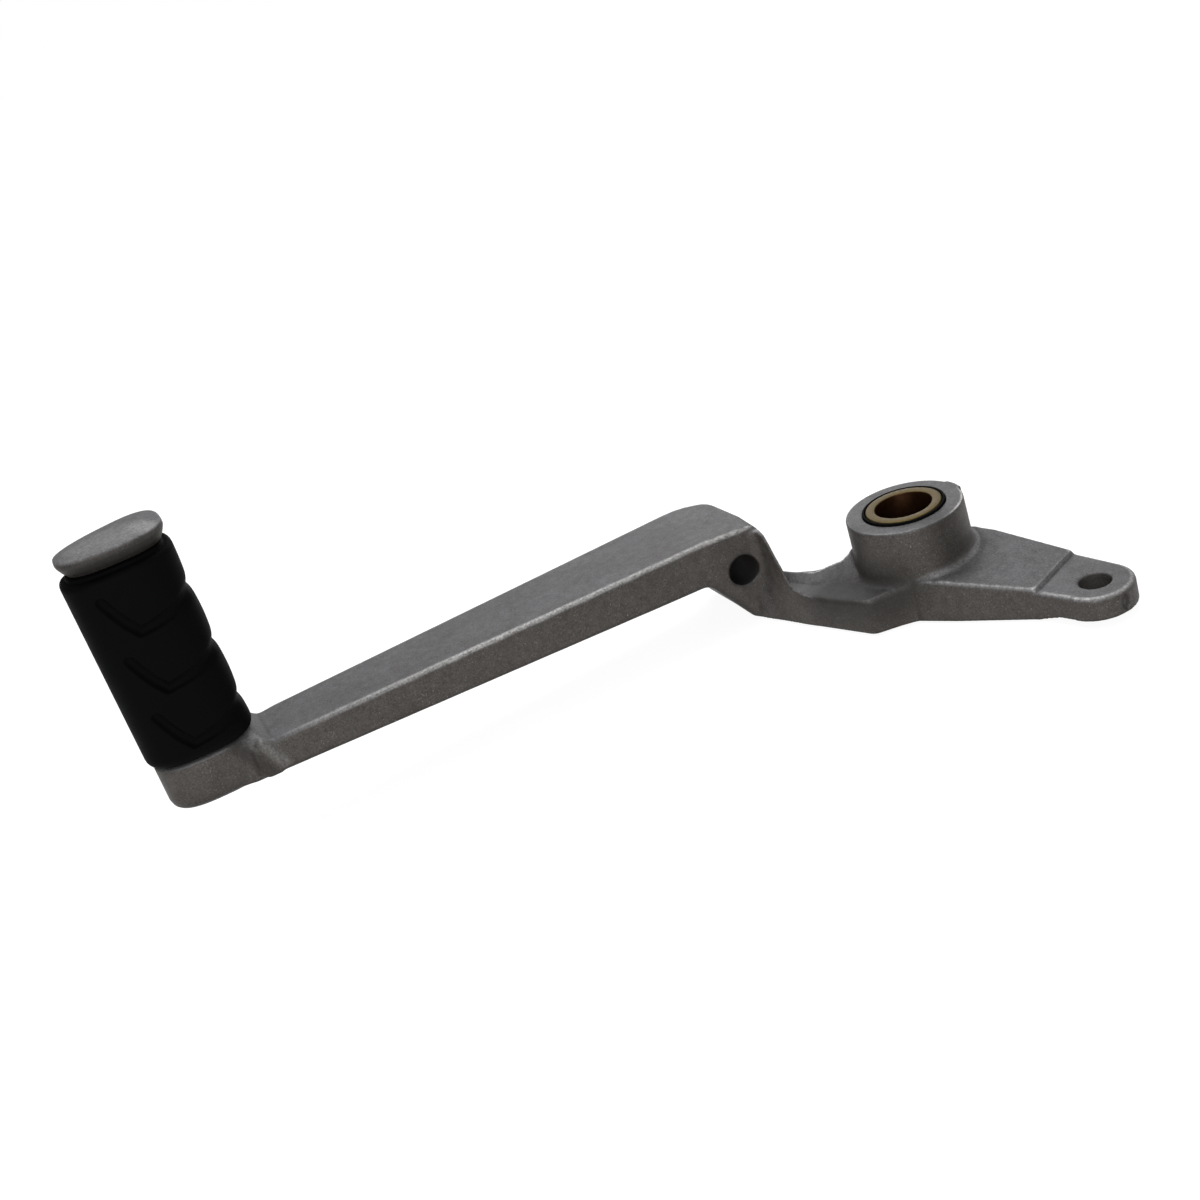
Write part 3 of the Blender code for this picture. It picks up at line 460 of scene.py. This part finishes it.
def cast_material():
    n = Nodes("cast_aluminium_worn_painted_light")
    where = n.position()
    blotch = n.noise(where, 70.0, 4.0, 0.6, 0.4)
    mottle = n.noise(where, 420.0, 4.0, 0.62)
    grain = n.noise(where, 1900.0, 3.0, 0.6)
    fleck_glint = n.noise(where, 2500.0, 2.0, 0.5)
    pit = n.noise(where, 1300.0, 2.0, 0.5)
    # Walls browner as oxide and darker as painted shade, tops greyer and lighter as painted light
    # from above, and an underside darkened as painted shade, each uneven at three scales
    colour = n.mix(n.attribute("up"), WALL_SHADE_COLOUR, TOP_LIGHT_COLOUR)
    under = n.math("MULTIPLY", n.attribute("under"), 0.55)
    colour = n.mix(under, colour, UNDER_SHADE_COLOUR)
    for source, low, high, dark, light in (
        (blotch, 0.3, 0.7, (0.88, 0.87, 0.86), (1.1, 1.11, 1.12)),
        (mottle, 0.35, 0.68, (0.86, 0.85, 0.84), (1.12, 1.13, 1.14)),
        (grain, 0.3, 0.7, (0.64, 0.64, 0.64), (1.32, 1.32, 1.32)),
    ):
        uneven = n.mix(n.ramp(source, low, high), dark, light)
        colour = n.mix(1.0, colour, uneven, "MULTIPLY")
    # Light flecks are painted glints of the cast grain
    colour = n.mix(n.ramp(fleck_glint, 0.64, 0.74, 0.0, 0.6), colour, FLECK_GLINT_COLOUR)
    colour = n.mix(n.ramp(pit, 0.24, 0.34, 0.6, 0.0), colour, PIT_AND_SHADE_COLOUR)
    # Bright speckled metal where it is rubbed and as painted highlight, then painted shade in
    # recesses, dirt with painted shade, and painted shade inside the holes over all
    speckle = n.ramp(n.noise(where, 1500.0, 3.0, 0.65), 0.36, 0.6, 0.35, 1.25)
    rubbed_and_lit = n.math("MULTIPLY", n.attribute("wear_and_highlight"), speckle, clamp=True)
    colour = n.mix(rubbed_and_lit, colour, RUBBED_AND_HIGHLIGHT_COLOUR)
    # Recesses are darkened towards the pit colour as painted shade
    recess_shade = n.ramp(n.attribute("recess_shade"), 0.16, 0.62, 0.0, 0.75)
    colour = n.mix(recess_shade, colour, PIT_AND_SHADE_COLOUR)
    for name, share, shade_and_dirt_colour in (("grime_and_shade", 0.75, GRIME_AND_SHADE_COLOUR), ("inside", 0.9, HOLE_SHADE_COLOUR)):
        colour = n.mix(n.math("MULTIPLY", n.attribute(name), share), colour, shade_and_dirt_colour)
    n.join(colour, n.shader.inputs["Base Color"])
    n.shader.inputs["Metallic"].default_value = 0.22
    n.shader.inputs["Specular IOR Level"].default_value = 0.25
    n.join(n.ramp(grain, 0.3, 0.7, 0.46, 0.62), n.shader.inputs["Roughness"])
    normal = n.bump(grain, 0.3, 0.00014)
    normal = n.bump(mottle, 0.25, 0.0003, normal)
    n.join(normal, n.shader.inputs["Normal"])
    return n.material


def rubber_material():
    n = Nodes("pedal_rubber")
    where = n.position()
    grain = n.noise(where, 2600.0, 3.0, 0.6)
    dust = n.noise(where, 160.0, 4.0, 0.6)
    colour = n.mix(n.ramp(dust, 0.35, 0.75), *RUBBER_COLOURS)
    n.join(colour, n.shader.inputs["Base Color"])
    n.join(n.ramp(dust, 0.3, 0.7, 0.6, 0.74), n.shader.inputs["Roughness"])
    n.shader.inputs["Specular IOR Level"].default_value = 0.04
    n.join(n.bump(grain, 0.2, 0.0001), n.shader.inputs["Normal"])
    return n.material


def bush_material():
    n = Nodes("bronze_bush_worn")
    where = n.position()
    grain = n.noise(where, 900.0, 3.0, 0.6)
    colour = n.mix(n.ramp(grain, 0.3, 0.7), *BRONZE_COLOURS)
    # The bore is darkened as painted shade with an oil stain
    colour = n.mix(n.attribute("bore_shade"), colour, BORE_SHADE_COLOUR)
    n.join(colour, n.shader.inputs["Base Color"])
    n.shader.inputs["Metallic"].default_value = 0.85
    n.join(n.ramp(grain, 0.3, 0.7, 0.36, 0.54), n.shader.inputs["Roughness"])
    n.join(n.bump(grain, 0.2, 0.0001), n.shader.inputs["Normal"])
    return n.material


def seal_material():
    n = Nodes("seal_black")
    where = n.position()
    grain = n.noise(where, 1500.0, 3.0, 0.6)
    colour = n.mix(n.ramp(grain, 0.3, 0.7), *SEAL_COLOURS)
    n.join(colour, n.shader.inputs["Base Color"])
    n.join(n.ramp(grain, 0.3, 0.7, 0.55, 0.7), n.shader.inputs["Roughness"])
    n.shader.inputs["Specular IOR Level"].default_value = 0.03
    return n.material


# Casting: the CAD solid with its creases softened, as a sand or die casting has them


def welded_copy(node, name):
    bm = bmesh.new()
    bm.from_mesh(nodes[node].data)
    bmesh.ops.remove_doubles(bm, verts=bm.verts, dist=1e-6)
    mesh = bpy.data.meshes.new(name)
    bm.to_mesh(mesh)
    bm.free()
    return link(name, mesh)


def apply_modifiers(item):
    graph = bpy.context.evaluated_depsgraph_get()
    made = bpy.data.meshes.new_from_object(item.evaluated_get(graph))
    old = item.data
    item.modifiers.clear()
    item.data = made
    bpy.data.meshes.remove(old)


def remesh(item, voxel):
    modifier = item.modifiers.new("remesh", "REMESH")
    modifier.mode = "VOXEL"
    modifier.voxel_size = voxel * MM
    modifier.adaptivity = 0.0
    apply_modifiers(item)


def thin_out(item, most):
    """Merge triangles where the surface is flat until most of them are left at the most."""
    triangles = sum(len(face.vertices) - 2 for face in item.data.polygons)
    if triangles > most:
        modifier = item.modifiers.new("thin", "DECIMATE")
        modifier.decimate_type = "COLLAPSE"
        modifier.ratio = most / triangles
        apply_modifiers(item)


def fade(values, low, high):
    """0 up to the low value and 1 from the high one, straight between them."""
    return np.clip((values - low) / (high - low), 0.0, 1.0)


def radius_and_bearing(points):
    """Distance of points from the pivot axis, and their bearing round it."""
    return np.hypot(points[:, 0], points[:, 1]), np.arctan2(points[:, 1], points[:, 0])


def hole_masks(points):
    """Painted shade inside the holes, and 0 round their mouths where no edge is rubbed or
    highlighted.
    """
    dark = np.zeros(len(points))
    clear = np.ones(len(points))
    for axis, centre, radius, (low, high), depth in HOLES:
        across = [k for k in range(3) if k != axis]
        off = points[:, across] - np.array(centre)
        away = np.hypot(off[:, 0], off[:, 1])
        within = (points[:, axis] > low) & (points[:, axis] < high)
        outside = fade(away, radius + HOLE_FADE[0], radius + HOLE_FADE[1])
        dark = np.maximum(dark, depth * within * (1.0 - outside))
        clear = np.minimum(clear, fade(away, radius + MOUTH_FADE[0], radius + MOUTH_FADE[1]))
    return dark, clear


def segment_mask(points, start, end, reach):
    """1 near the line between two points, fading to 0 at its reach."""
    start, end = np.array(start), np.array(end)
    way = end - start
    share = np.clip((points - start) @ way / (way @ way), 0.0, 1.0)
    away = np.linalg.norm(points - start - share[:, None] * way, axis=1)
    return 1.0 - fade(away, reach * LINE_CORE, reach)


def region_mask(points, rise):
    """How much of the wear and painted highlight stays: all of it on the arm, less elsewhere,
    little at the peg.
    """
    x, z = points[:, 0], points[:, 2]
    beyond = fade(x, *BEYOND_X)
    stays = 1.0 - BEYOND_CLEAR * beyond * (1.0 - fade(rise, *SLOPE_RISE))
    stays *= 1.0 - beyond * (1.0 - fade(rise, *WALL_RISE))
    stays *= LEAST_ALONG + (1.0 - LEAST_ALONG) * fade(x, *ALONG_X)
    peg = fade(z, *PEG_Z) * (1.0 - fade(x, *PEG_X))
    root = np.maximum(segment_mask(points, *ROOT_CLEAR), peg)
    return stays * (1.0 - PEG_CLEAR * root)


def rim_highlight_mask(points, rise):
    """How much of the wear and painted highlight stays: little on the boss's rim but on its
    highlighted part.
    """
    radius, bearing = radius_and_bearing(points)
    on_boss = (radius < RIM_RADIUS + RIM_REACH) & (points[:, 2] > RIM_LOW)
    facing = RIM_SHARES[0] + RIM_SHARES[1] * fade(np.cos(bearing - RIM_BEARING), *RIM_COSINES)
    return np.where(on_boss, facing * fade(rise, *RIM_RISE), 1.0)


def foot_highlight_mask(points, reach):
    """1 on the painted highlight line round the boss's foot, on the side that faces the lug."""
    radius, bearing = radius_and_bearing(points)
    away = np.hypot(radius - FOOT_RADIUS, points[:, 2] - FOOT_HIGH)
    near = 1.0 - fade(away, FOOT_CORE * reach, reach)
    return near * fade(np.cos(bearing - FOOT_BEARING), *FOOT_COSINES)


def ridge_mask(points):
    """How much of the wear and painted highlight stays: little on the ridge between the arm and
    the plate.
    """
    x, z = points[:, 0], points[:, 2]
    ridge = fade(x, *RIDGE_START_X) * (1.0 - fade(x, *RIDGE_END_X)) * (1.0 - fade(z, *RIDGE_Z))
    return 1.0 - RIDGE_CLEAR * ridge


def half_sphere(count):
    """Directions spread over the upper half, thick at the top as a matt surface sees it."""
    golden = math.pi * (3.0 - math.sqrt(5.0))
    for k in range(count):
        radius = math.sqrt((k + 0.5) / count)
        yield Vector((
            radius * math.cos(golden * k),
            radius * math.sin(golden * k),
            math.sqrt(1.0 - radius ** 2),
        ))


def recesses(points):
    """Share of blocked rays at each point, looked up on a coarse copy of the casting."""
    coarse = welded_copy("lever_casting", "recess_copy")
    remesh(coarse, RECESS_VOXEL)
    mesh = coarse.data
    tree = BVHTree.FromPolygons(
        [v.co / MM for v in mesh.vertices], [tuple(f.vertices) for f in mesh.polygons]
    )
    rays = list(half_sphere(RECESS_RAYS))
    up = Vector((0.0, 0.0, 1.0))
    find = KDTree(len(mesh.vertices))
    blocked = np.zeros(len(mesh.vertices))
    for index, vertex in enumerate(mesh.vertices):
        place = vertex.co / MM
        find.insert(place, index)
        turn = up.rotation_difference(vertex.normal)
        start = place + vertex.normal * RECESS_START
        hits = (tree.ray_cast(start, turn @ ray, RECESS_REACH)[0] for ray in rays)
        blocked[index] = sum(hit is not None for hit in hits) / RECESS_RAYS
    find.balance()
    blocked = soften(edge_list(mesh), blocked, rounds=1)
    bpy.data.objects.remove(coarse)
    return np.array([blocked[find.find(point)[1]] for point in points])


def find_wear_and_highlight(points, rise, edge, clear):
    """Share of rubbed metal and painted highlight at each point: upper edges, and the painted
    highlight lines.
    """
    wear_and_highlight = edge * fade(rise, *WORN_AND_LIT_RISE) * clear * rim_highlight_mask(points, rise) * ridge_mask(points)
    wear_and_highlight *= region_mask(points, rise)
    for start, end, reach, share in HIGHLIGHT_LINES:
        painted_highlight = share * segment_mask(points, start, end, reach)
        wear_and_highlight = np.maximum(wear_and_highlight, painted_highlight * (rise > HIGHLIGHT_LEAST_RISE))
    return np.maximum(wear_and_highlight, FOOT_SHARE * foot_highlight_mask(points, FOOT_REACH))


def find_grime_and_shade(points, rise, edge, convex):
    """Share of dirt and painted shade at each point: painted shade under lower edges, dirt with
    painted shade in hollows, and painted shade on the listed lines and the cap's side.
    """
    lower = (1.0 - fade(rise, *SHADED_RISE_TOP)) * fade(rise, *SHADED_RISE_LOW)
    hollow = fade(-convex, *HOLLOW_BEND) * (1.0 - foot_highlight_mask(points, FOOT_CLEAN_REACH))
    grime_and_shade = np.maximum(EDGE_SHADE * edge * lower, HOLLOW_SHADE_AND_DIRT * hollow)
    for start, end, reach, share in SHADE_AND_DIRT_LINES:
        grime_and_shade = np.maximum(grime_and_shade, share * segment_mask(points, start, end, reach))
    cap_side = fade(points[:, 2], *CAP_Z) * (1.0 - fade(rise, *CAP_RISE))
    cap_side *= CAP_SHARES[0] + CAP_SHARES[1] * fade(CAP_RIM - points[:, 2], *CAP_DEPTHS)
    return np.maximum(grime_and_shade, cap_side)


def store_surface(mesh, edges, points):
    """Attributes for the material: rubbed edges with painted highlights, dirt with painted shade,
    painted light and shade on up and down facing parts, and painted shade in holes and recesses.
    """
    normals = vertex_normals(mesh)
    bend = neighbour_mean(edges, points) - points
    convex = -(bend * normals).sum(axis=1) / VOXEL ** 2
    convex = soften(edges, convex, BEND_ROUNDS)
    edge = fade(convex - EDGE_BEND_BEYOND * fade(points[:, 0], *BEYOND_X), *EDGE_BEND)
    rise = normals[:, 2]
    dark, clear = hole_masks(points)
    recess_shade = recesses(points)
    for _ in range(RECESS_ROUNDS):
        recess_shade = neighbour_mean(edges, recess_shade)
    smooth_rise = soften(edges, rise, rounds=2)
    store(mesh, "wear_and_highlight", find_wear_and_highlight(points, rise, edge, clear))
    store(mesh, "grime_and_shade", find_grime_and_shade(points, rise, edge, convex))
    store(mesh, "recess_shade", recess_shade)
    store(mesh, "up", fade(smooth_rise, *TOP_LIGHT_RISE))
    store(mesh, "under", fade(-smooth_rise, *UNDER_SHADE_RISE))
    # Painted shade inside the holes
    store(mesh, "inside", dark)


def cast_points(edges, points):
    """The remeshed points with softened creases, rounder and flatter along the given lines."""
    points = relax(edges, points, SMOOTH_ROUNDS)
    rounder = relax(edges, points, ROUND_ROUNDS)
    for line in ROUND_LINES:
        points += segment_mask(points, *line)[:, None] * (rounder - points)
    flatter = points.copy()
    for _ in range(FLAT_ROUNDS):
        flatter += 0.5 * (neighbour_mean(edges, flatter) - flatter)
    for line in FLAT_LINES:
        points += segment_mask(points, *line)[:, None] * (flatter - points)
    return points


def make_casting():
    casting = welded_copy("lever_casting", "cast_lever")
    remesh(casting, VOXEL)
    mesh = casting.data
    edges = edge_list(mesh)
    points = cast_points(edges, coordinates(mesh) / MM)
    set_coordinates(mesh, points * MM)
    store_surface(mesh, edges, points)
    thin_out(casting, MOST_TRIANGLES)
    casting.data.shade_smooth()
    casting.data.materials.clear()
    casting.data.materials.append(cast_material())
    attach(casting, "root")
    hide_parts("lever_casting")


# Rubber sleeve


def egg(count, half_length, half_width):
    """Points of the peg's egg-shaped section, the same curve as in the CAD."""
    angle = np.linspace(0.0, math.tau, count, endpoint=False)
    cosine, sine = np.cos(angle), np.sin(angle)
    along = np.sign(cosine) * np.abs(cosine) ** (2.0 / PEG_POWER)
    across = np.sign(sine) * np.abs(sine) ** (2.0 / PEG_POWER)
    skew = np.where(across < 0.0, PEG_FRONT_SKEW, PEG_BACK_SKEW)
    return np.stack([
        PEG_CENTRE[0] + half_length * along,
        PEG_CENTRE[1] + half_width * (1.0 + skew * along) * across,
    ], axis=1)


def even_loop(points, count, start):
    """Spread points evenly round a closed outline, from the outline's point nearest to start."""
    first = int(np.argmin(np.hypot(*(points - np.array(start)).T)))
    points = np.roll(points, -first, axis=0)
    closed = np.vstack([points, points[:1]])
    run = np.concatenate([[0.0], np.cumsum(np.hypot(*np.diff(closed, axis=0).T))])
    wanted = np.linspace(0.0, run[-1], count, endpoint=False)
    return np.stack([np.interp(wanted, run, closed[:, k]) for k in (0, 1)], axis=1), run[-1]


def groove_lines():
    """Centre lines of the grooves on the unrolled tread: rows of run, height and radius."""
    outline = egg(OUTLINE_STEPS, *RUBBER_HALF)
    apex = OUTLINE_STEPS * 3 // 4
    spans = [
        np.hypot(*(outline[(k + 1) % OUTLINE_STEPS] - outline[k])) for k in range(OUTLINE_STEPS)
    ]

    def run_at(step):
        ahead = sum(spans[(apex + k) % OUTLINE_STEPS] for k in range(0, step))
        behind = sum(spans[(apex + k) % OUTLINE_STEPS] for k in range(step, 0))
        return ahead - behind + GROOVE_PHASE * spans[(apex + step) % OUTLINE_STEPS]

    lines = []
    for notch in GROOVES:
        line = []
        for step in range(GROOVE_FIRST, GROOVE_LAST + 1):
            away = step - GROOVE_VERTEX
            share = min(1.0, max(0.0, away / (GROOVE_LEVEL - GROOVE_VERTEX)))
            height = notch - GROOVE_DROP * (1.0 - share)
            if away < 0:
                climb = GROOVE_LEFT_RISE * away / (GROOVE_FIRST - GROOVE_VERTEX)
                height = notch - GROOVE_DROP + climb
            radius = GROOVE_RADII[0] + (GROOVE_RADII[1] - GROOVE_RADII[0]) * share
            line.append((run_at(step), height, radius))
        lines.append(np.array(line))
    return lines


def line_distance(run, height, line):
    """Distance of points on the unrolled tread to a groove's centre line, and the radius there."""
    best = np.full(run.shape, np.inf)
    radius = np.full(run.shape, GROOVE_RADII[0])
    for (x0, z0, r0), (x1, z1, r1) in zip(line[:-1], line[1:]):
        length = (x1 - x0) ** 2 + (z1 - z0) ** 2
        share = np.clip(((run - x0) * (x1 - x0) + (height - z0) * (z1 - z0)) / length, 0.0, 1.0)
        away = np.hypot(run - x0 - share * (x1 - x0), height - z0 - share * (z1 - z0))
        nearer = away < best
        best = np.where(nearer, away, best)
        radius = np.where(nearer, r0 + share * (r1 - r0), radius)
    return best, radius


def groove_depth(run, height, lines):
    """Depth of the grooves: round bars sunk in the tread, which widen into soft scallops."""
    depth = np.zeros(run.shape)
    for line in lines:
        away, radius = line_distance(run, height, line)
        sunk = np.sqrt(np.maximum(radius ** 2 - away ** 2, 0.0)) - (radius - GROOVE_DEPTH)
        crisp = 0.5 * (sunk + np.sqrt(sunk ** 2 + GROOVE_SOFTNESS ** 2)) - GROOVE_LEAST
        crisp = np.clip(crisp, 0.0, None)
        wide = sum(deep * np.exp(-(away / width) ** 2) for deep, width in SCALLOP_BELLS)
        share = fade(radius, *GROOVE_RADII)
        depth = np.maximum(depth, np.minimum(crisp + share * (wide - crisp), GROOVE_DEPTH))
    return depth


def sleeve_levels():
    """Height and pull-in of each row of the sleeve's outside, from its foot to its lip."""
    quarter = np.linspace(0.0, math.pi / 2.0, EDGE_ROWS)
    shoulder = RUBBER_HIGH - RUBBER_LIP
    levels = [(
        RUBBER_LOW + RUBBER_LOW_EDGE * (1.0 - math.cos(a)),
        RUBBER_LOW_EDGE * (1.0 - math.sin(a)),
    ) for a in quarter]
    straight = np.linspace(RUBBER_LOW + RUBBER_LOW_EDGE, shoulder - RUBBER_EDGE, RUBBER_ROWS)
    levels += [(height, 0.0) for height in straight[1:-1]]
    levels += [(
        shoulder - RUBBER_EDGE * (1.0 - math.sin(a)), RUBBER_EDGE * (1.0 - math.cos(a))
    ) for a in quarter]
    lip = RUBBER_EDGE + RUBBER_LIP_PULL
    for height, (rise, pull) in zip((shoulder, RUBBER_HIGH, RUBBER_HIGH), LIP_CORNER):
        levels.append((height + rise, lip + pull))
    return levels


def make_rubber():
    start = (PEG_CENTRE[0], PEG_CENTRE[1] - RUBBER_HALF[1])
    around, length = even_loop(egg(SECTION_POINTS, *RUBBER_HALF), RUBBER_COLUMNS, start)
    tangent = np.roll(around, -1, axis=0) - np.roll(around, 1, axis=0)
    tangent /= np.hypot(*tangent.T)[:, None]
    outward = np.stack([tangent[:, 1], -tangent[:, 0]], axis=1)
    inner, _ = even_loop(egg(SECTION_POINTS, *CORE_HALF), RUBBER_COLUMNS, start)
    # Run along the tread from its middle, less than 0 on the side of the short limbs
    run = np.arange(RUBBER_COLUMNS) * length / RUBBER_COLUMNS
    run = np.where(run > length * RUN_SPLIT, run - length, run)
    lines = groove_lines()
    rows = []
    for height, pull in sleeve_levels():
        z = np.full(RUBBER_COLUMNS, height)
        pull_in = pull + groove_depth(run, z, lines)
        rows.append(np.column_stack([around - outward * pull_in[:, None], z]))
    for height in (RUBBER_HIGH, RUBBER_LOW):
        rows.append(np.column_stack([inner, np.full(RUBBER_COLUMNS, height)]))
    faces = []
    for r in range(len(rows)):
        s = (r + 1) % len(rows)
        for i in range(RUBBER_COLUMNS):
            j = (i + 1) % RUBBER_COLUMNS
            faces.append((
                r * RUBBER_COLUMNS + i, r * RUBBER_COLUMNS + j,
                s * RUBBER_COLUMNS + j, s * RUBBER_COLUMNS + i,
            ))
    mesh = mesh_from_arrays("rubber_sleeve", np.vstack(rows) * MM, faces)
    mesh.shade_smooth()
    mesh.set_sharp_from_angle(angle=RUBBER_SHARP)
    mesh.materials.append(rubber_material())
    rubber = link("rubber_sleeve", mesh)
    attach(rubber, "root")
    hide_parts("peg_rubber")


# Bush and seals


def turned(name, profile):
    """Ring turned from a closed (radius, z) profile round the pivot axis."""
    angle = np.linspace(0.0, math.tau, RING_SEGMENTS, endpoint=False)
    count = len(profile)
    vertices = [
        (radius * math.cos(a) * MM, radius * math.sin(a) * MM, z * MM)
        for a in angle for radius, z in profile
    ]
    faces = []
    for s in range(RING_SEGMENTS):
        t = (s + 1) % RING_SEGMENTS
        for i in range(count):
            j = (i + 1) % count
            faces.append((s * count + i, t * count + i, t * count + j, s * count + j))
    mesh = mesh_from_arrays(name, vertices, faces)
    mesh.shade_smooth()
    mesh.set_sharp_from_angle(angle=RING_SHARP)
    return link(name, mesh)


def rounded_ring(radii, low, high, edge):
    """Closed (radius, z) profile of a ring with rounded edges."""
    inner, outer = radii
    corners = (
        (inner + edge, low + edge, 180),
        (outer - edge, low + edge, 270),
        (outer - edge, high - edge, 0),
        (inner + edge, high - edge, 90),
    )
    profile = []
    for radius, z, start in corners:
        for turn in CORNER_TURNS:
            a = math.radians(start + turn)
            profile.append((radius + edge * math.cos(a), z + edge * math.sin(a)))
    return profile


def make_bush():
    low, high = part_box("pivot_bush")
    bush = turned("bush_turned", rounded_ring(BUSH_RADII, low.z / MM, high.z / MM, BUSH_EDGE))
    radius, _ = radius_and_bearing(coordinates(bush.data) / MM)
    bore_shade = np.clip((BUSH_RADII[0] + BORE_FADE - radius) / BORE_FADE, 0.0, 1.0)
    store(bush.data, "bore_shade", bore_shade)
    bush.data.materials.append(bush_material())
    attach(bush, "root")
    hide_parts("pivot_bush")


def make_seals():
    for node, name, lift in SEALS:
        low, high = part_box(node)
        profile = rounded_ring(SEAL_RADII, low.z / MM + lift, high.z / MM + lift, SEAL_EDGE)
        seal = turned(name, profile)
        seal.data.materials.append(seal_material())
        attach(seal, "root")
        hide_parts(node)


# Stage


def make_camera():
    forward = Vector((0.0, math.cos(DIP), -math.sin(DIP)))
    level = Vector((1.0, 0.0, 0.0))
    down = forward.cross(level)
    right = math.cos(ROLL) * level + math.sin(ROLL) * down
    lower = -math.sin(ROLL) * level + math.cos(ROLL) * down
    across = (ANCHOR_PIXEL[0] - IMAGE_SIZE / 2.0) / FOCAL
    drop = (ANCHOR_PIXEL[1] - IMAGE_SIZE / 2.0) / FOCAL
    place = ANCHOR - (right * across + lower * drop + forward) * ANCHOR_DEPTH
    turn = Matrix.Rotation(-TURN, 3, "Z")
    right, lower, forward, place = (turn @ v for v in (right, lower, forward, place))
    data = bpy.data.cameras.new("photo_camera")
    data.sensor_width = SENSOR_WIDTH
    data.lens = SENSOR_WIDTH * FOCAL / IMAGE_SIZE
    data.clip_start = CLIP_NEAR
    data.clip_end = CLIP_FAR
    camera = link("photo_camera", data)
    rotation = Matrix((right, -lower, -forward)).transposed()
    camera.matrix_world = Matrix.Translation(place * MM) @ rotation.to_4x4()
    bpy.context.scene.camera = camera


def area_light(name, place, target, size, power):
    data = bpy.data.lights.new(name, "AREA")
    data.shape = "RECTANGLE"
    data.size, data.size_y = size
    data.energy = power
    light = link(name, data)
    light.location = place
    aim = Vector(target) - Vector(place)
    light.rotation_mode = "QUATERNION"
    light.rotation_quaternion = aim.to_track_quat("-Z", "Y")


def make_floor():
    """Pale floor that takes the part's shadow and looks white, also in reflections."""
    n = Nodes("pale_floor")
    n.tree.nodes.remove(n.shader)
    out = n.tree.nodes["Material Output"]
    diffuse = n.add("ShaderNodeBsdfDiffuse")
    diffuse.inputs["Color"].default_value = (FLOOR_GREY, FLOOR_GREY, FLOOR_GREY, 1.0)
    away = n.add("ShaderNodeVectorMath", operation="LENGTH")
    n.join(n.position(), away.inputs[0])
    level = n.ramp(away.outputs["Value"], *GLOW_DISTANCES, *GLOW_LEVELS)
    glow = n.add("ShaderNodeEmission")
    path = n.add("ShaderNodeLightPath")
    seen = n.math("MAXIMUM", path.outputs["Is Camera Ray"], path.outputs["Is Glossy Ray"])
    seen = n.math("MAXIMUM", seen, path.outputs["Is Transmission Ray"])
    n.join(n.math("MULTIPLY", seen, level), glow.inputs["Strength"])
    total = n.add("ShaderNodeAddShader")
    n.join(diffuse.outputs[0], total.inputs[0])
    n.join(glow.outputs[0], total.inputs[1])
    n.join(total.outputs[0], out.inputs["Surface"])
    corners = ((-1, -1), (1, -1), (1, 1), (-1, 1))
    vertices = [(x * FLOOR_HALF, y * FLOOR_HALF, 0.0) for x, y in corners]
    mesh = mesh_from_arrays("floor", vertices, [(0, 1, 2, 3)])
    mesh.materials.append(n.material)
    floor = link("floor", mesh)
    floor.location.z = cad_low.z - FLOOR_DROP


def make_world():
    """White where the camera looks, and a soft dome that is brighter overhead for the light."""
    world = bpy.data.worlds.new("studio")
    bpy.context.scene.world = world
    world.use_nodes = True
    tree = world.node_tree
    background = tree.nodes["Background"]
    where = tree.nodes.new("ShaderNodeTexCoord")
    split = tree.nodes.new("ShaderNodeSeparateXYZ")
    tree.links.new(where.outputs["Generated"], split.inputs[0])
    dome = tree.nodes.new("ShaderNodeMapRange")
    dome.inputs["To Min"].default_value = DOME_LEVELS[0]
    dome.inputs["To Max"].default_value = DOME_LEVELS[1]
    tree.links.new(split.outputs["Z"], dome.inputs["Value"])
    path = tree.nodes.new("ShaderNodeLightPath")
    strength = tree.nodes.new("ShaderNodeMapRange")
    strength.inputs["To Max"].default_value = 1.0
    tree.links.new(path.outputs["Is Camera Ray"], strength.inputs["Value"])
    tree.links.new(dome.outputs["Result"], strength.inputs["To Min"])
    tree.links.new(strength.outputs["Result"], background.inputs["Strength"])
    background.inputs["Color"].default_value = (1.0, 1.0, 1.0, 1.0)


def main():
    make_camera()
    make_casting()
    make_rubber()
    make_bush()
    make_seals()
    make_floor()
    make_world()
    for light in LIGHTS:
        area_light(*light)
    bpy.context.scene.view_settings.view_transform = "Standard"


main()
